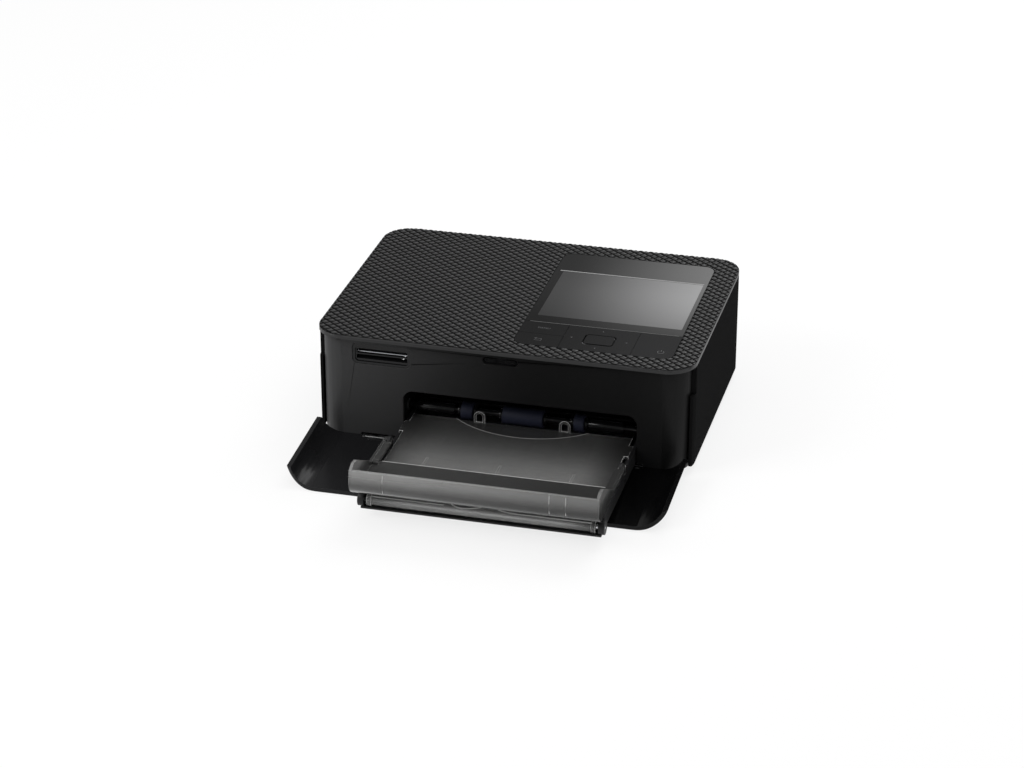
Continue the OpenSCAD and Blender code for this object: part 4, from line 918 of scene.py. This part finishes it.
def studio():
    """A soft grey world with a white backdrop near the horizon, and three lamps."""
    world = bpy.data.worlds.new("studio")
    bpy.context.scene.world = world
    world.use_nodes = True
    nodes = Nodes(world.node_tree)
    out = nodes.add("ShaderNodeOutputWorld")
    parts = nodes.add("ShaderNodeSeparateXYZ")
    nodes.join(nodes.add("ShaderNodeTexCoord").outputs["Generated"], parts.inputs[0])
    ceiling = nodes.add("ShaderNodeValToRGB")
    ceiling.color_ramp.interpolation = "EASE"
    steps = ceiling.color_ramp.elements
    for place, grey in CEILING[1:-1]:
        steps.new(place)
    for step, (place, grey) in zip(steps, CEILING):
        step.position = place
        step.color = (grey, grey, grey, 1)
    nodes.join(parts.outputs["Z"], ceiling.inputs["Fac"])
    soft = nodes.add("ShaderNodeBackground")
    nodes.join(ceiling.outputs["Color"], soft.inputs["Color"])
    soft.inputs["Strength"].default_value = 1.0
    white = nodes.add("ShaderNodeBackground")
    white.inputs["Color"].default_value = (1, 1, 1, 1)
    white.inputs["Strength"].default_value = 1.0
    backdrop = nodes.add("ShaderNodeMapRange", interpolation_type="SMOOTHSTEP")
    plain_settings(backdrop, From_Min=BACKDROP_TOP, From_Max=BACKDROP_FULL, To_Min=0.0, To_Max=1.0)
    nodes.join(parts.outputs["Z"], backdrop.inputs["Value"])
    pick = nodes.add("ShaderNodeMixShader")
    nodes.join(nodes.math("MULTIPLY", seen_directly(nodes), backdrop.outputs[0]), pick.inputs[0])
    nodes.join(soft.outputs[0], pick.inputs[1])
    nodes.join(white.outputs[0], pick.inputs[2])
    nodes.join(pick.outputs[0], out.inputs[0])
    lamp("key_left", (-0.9, -0.7, 0.9), (0, 0, 0.03), 0.7, 9.0)
    lamp("top_back", (0.3, 0.7, 1.0), (0, 0, 0.05), 0.8, 7.0)
    lamp("fill_right", (1.1, -0.5, 0.5), (0, 0, 0.03), 0.5, 2.0)


def floor():
    """A pale floor that keeps the object's shadow."""
    bm = bmesh.new()
    bmesh.ops.create_grid(bm, x_segments=1, y_segments=1, size=6.0)
    mesh = to_mesh(bm, "floor")
    plane = bpy.data.objects.new("floor", mesh)
    bpy.context.scene.collection.objects.link(plane)
    material = bpy.data.materials.new("floor_white")
    material.use_nodes = True
    nodes = Nodes(material.node_tree)
    out = nodes.add("ShaderNodeOutputMaterial")
    paper = nodes.add("ShaderNodeBsdfDiffuse")
    paper.inputs["Color"].default_value = (0.92, 0.92, 0.92, 1)
    glow = nodes.add("ShaderNodeEmission")
    glow.inputs["Strength"].default_value = 1.0
    pick = nodes.add("ShaderNodeMixShader")
    nodes.join(nodes.math("MULTIPLY", seen_directly(nodes), FLOOR_GLOW), pick.inputs[0])
    nodes.join(paper.outputs[0], pick.inputs[1])
    nodes.join(glow.outputs[0], pick.inputs[2])
    nodes.join(pick.outputs[0], out.inputs[0])
    mesh.materials.append(material)


# ---------------------------------------------------------------- build

dress_cad_nodes()
embossed_top()
picture_area()
panel_highlight_line("picture_far_highlight", 99.3, 0.8, "highlight_grey")
panel_highlight_line("window_near_highlight", 37.6, 0.35, "highlight_faint")
word("menu_label", "menu_key_body", "MENU", 14.0, 31.1, 1.5, "label_grey")
word("centre_label", "centre_key_body", "OK", 42.1, 24.0, 1.4, "label_grey")
power_mark()
direction_marks()
back_mark()
card_mark()
grip_highlight()
barrel_highlight()
plate_edge_highlight()
scoop_tick_highlights()
recess_rim_highlight()
recess_shade()
hinge_glint()
key_glints()
camera()
studio()
floor()

bpy.context.scene.view_settings.view_transform = "Standard"
bpy.context.view_layer.update()
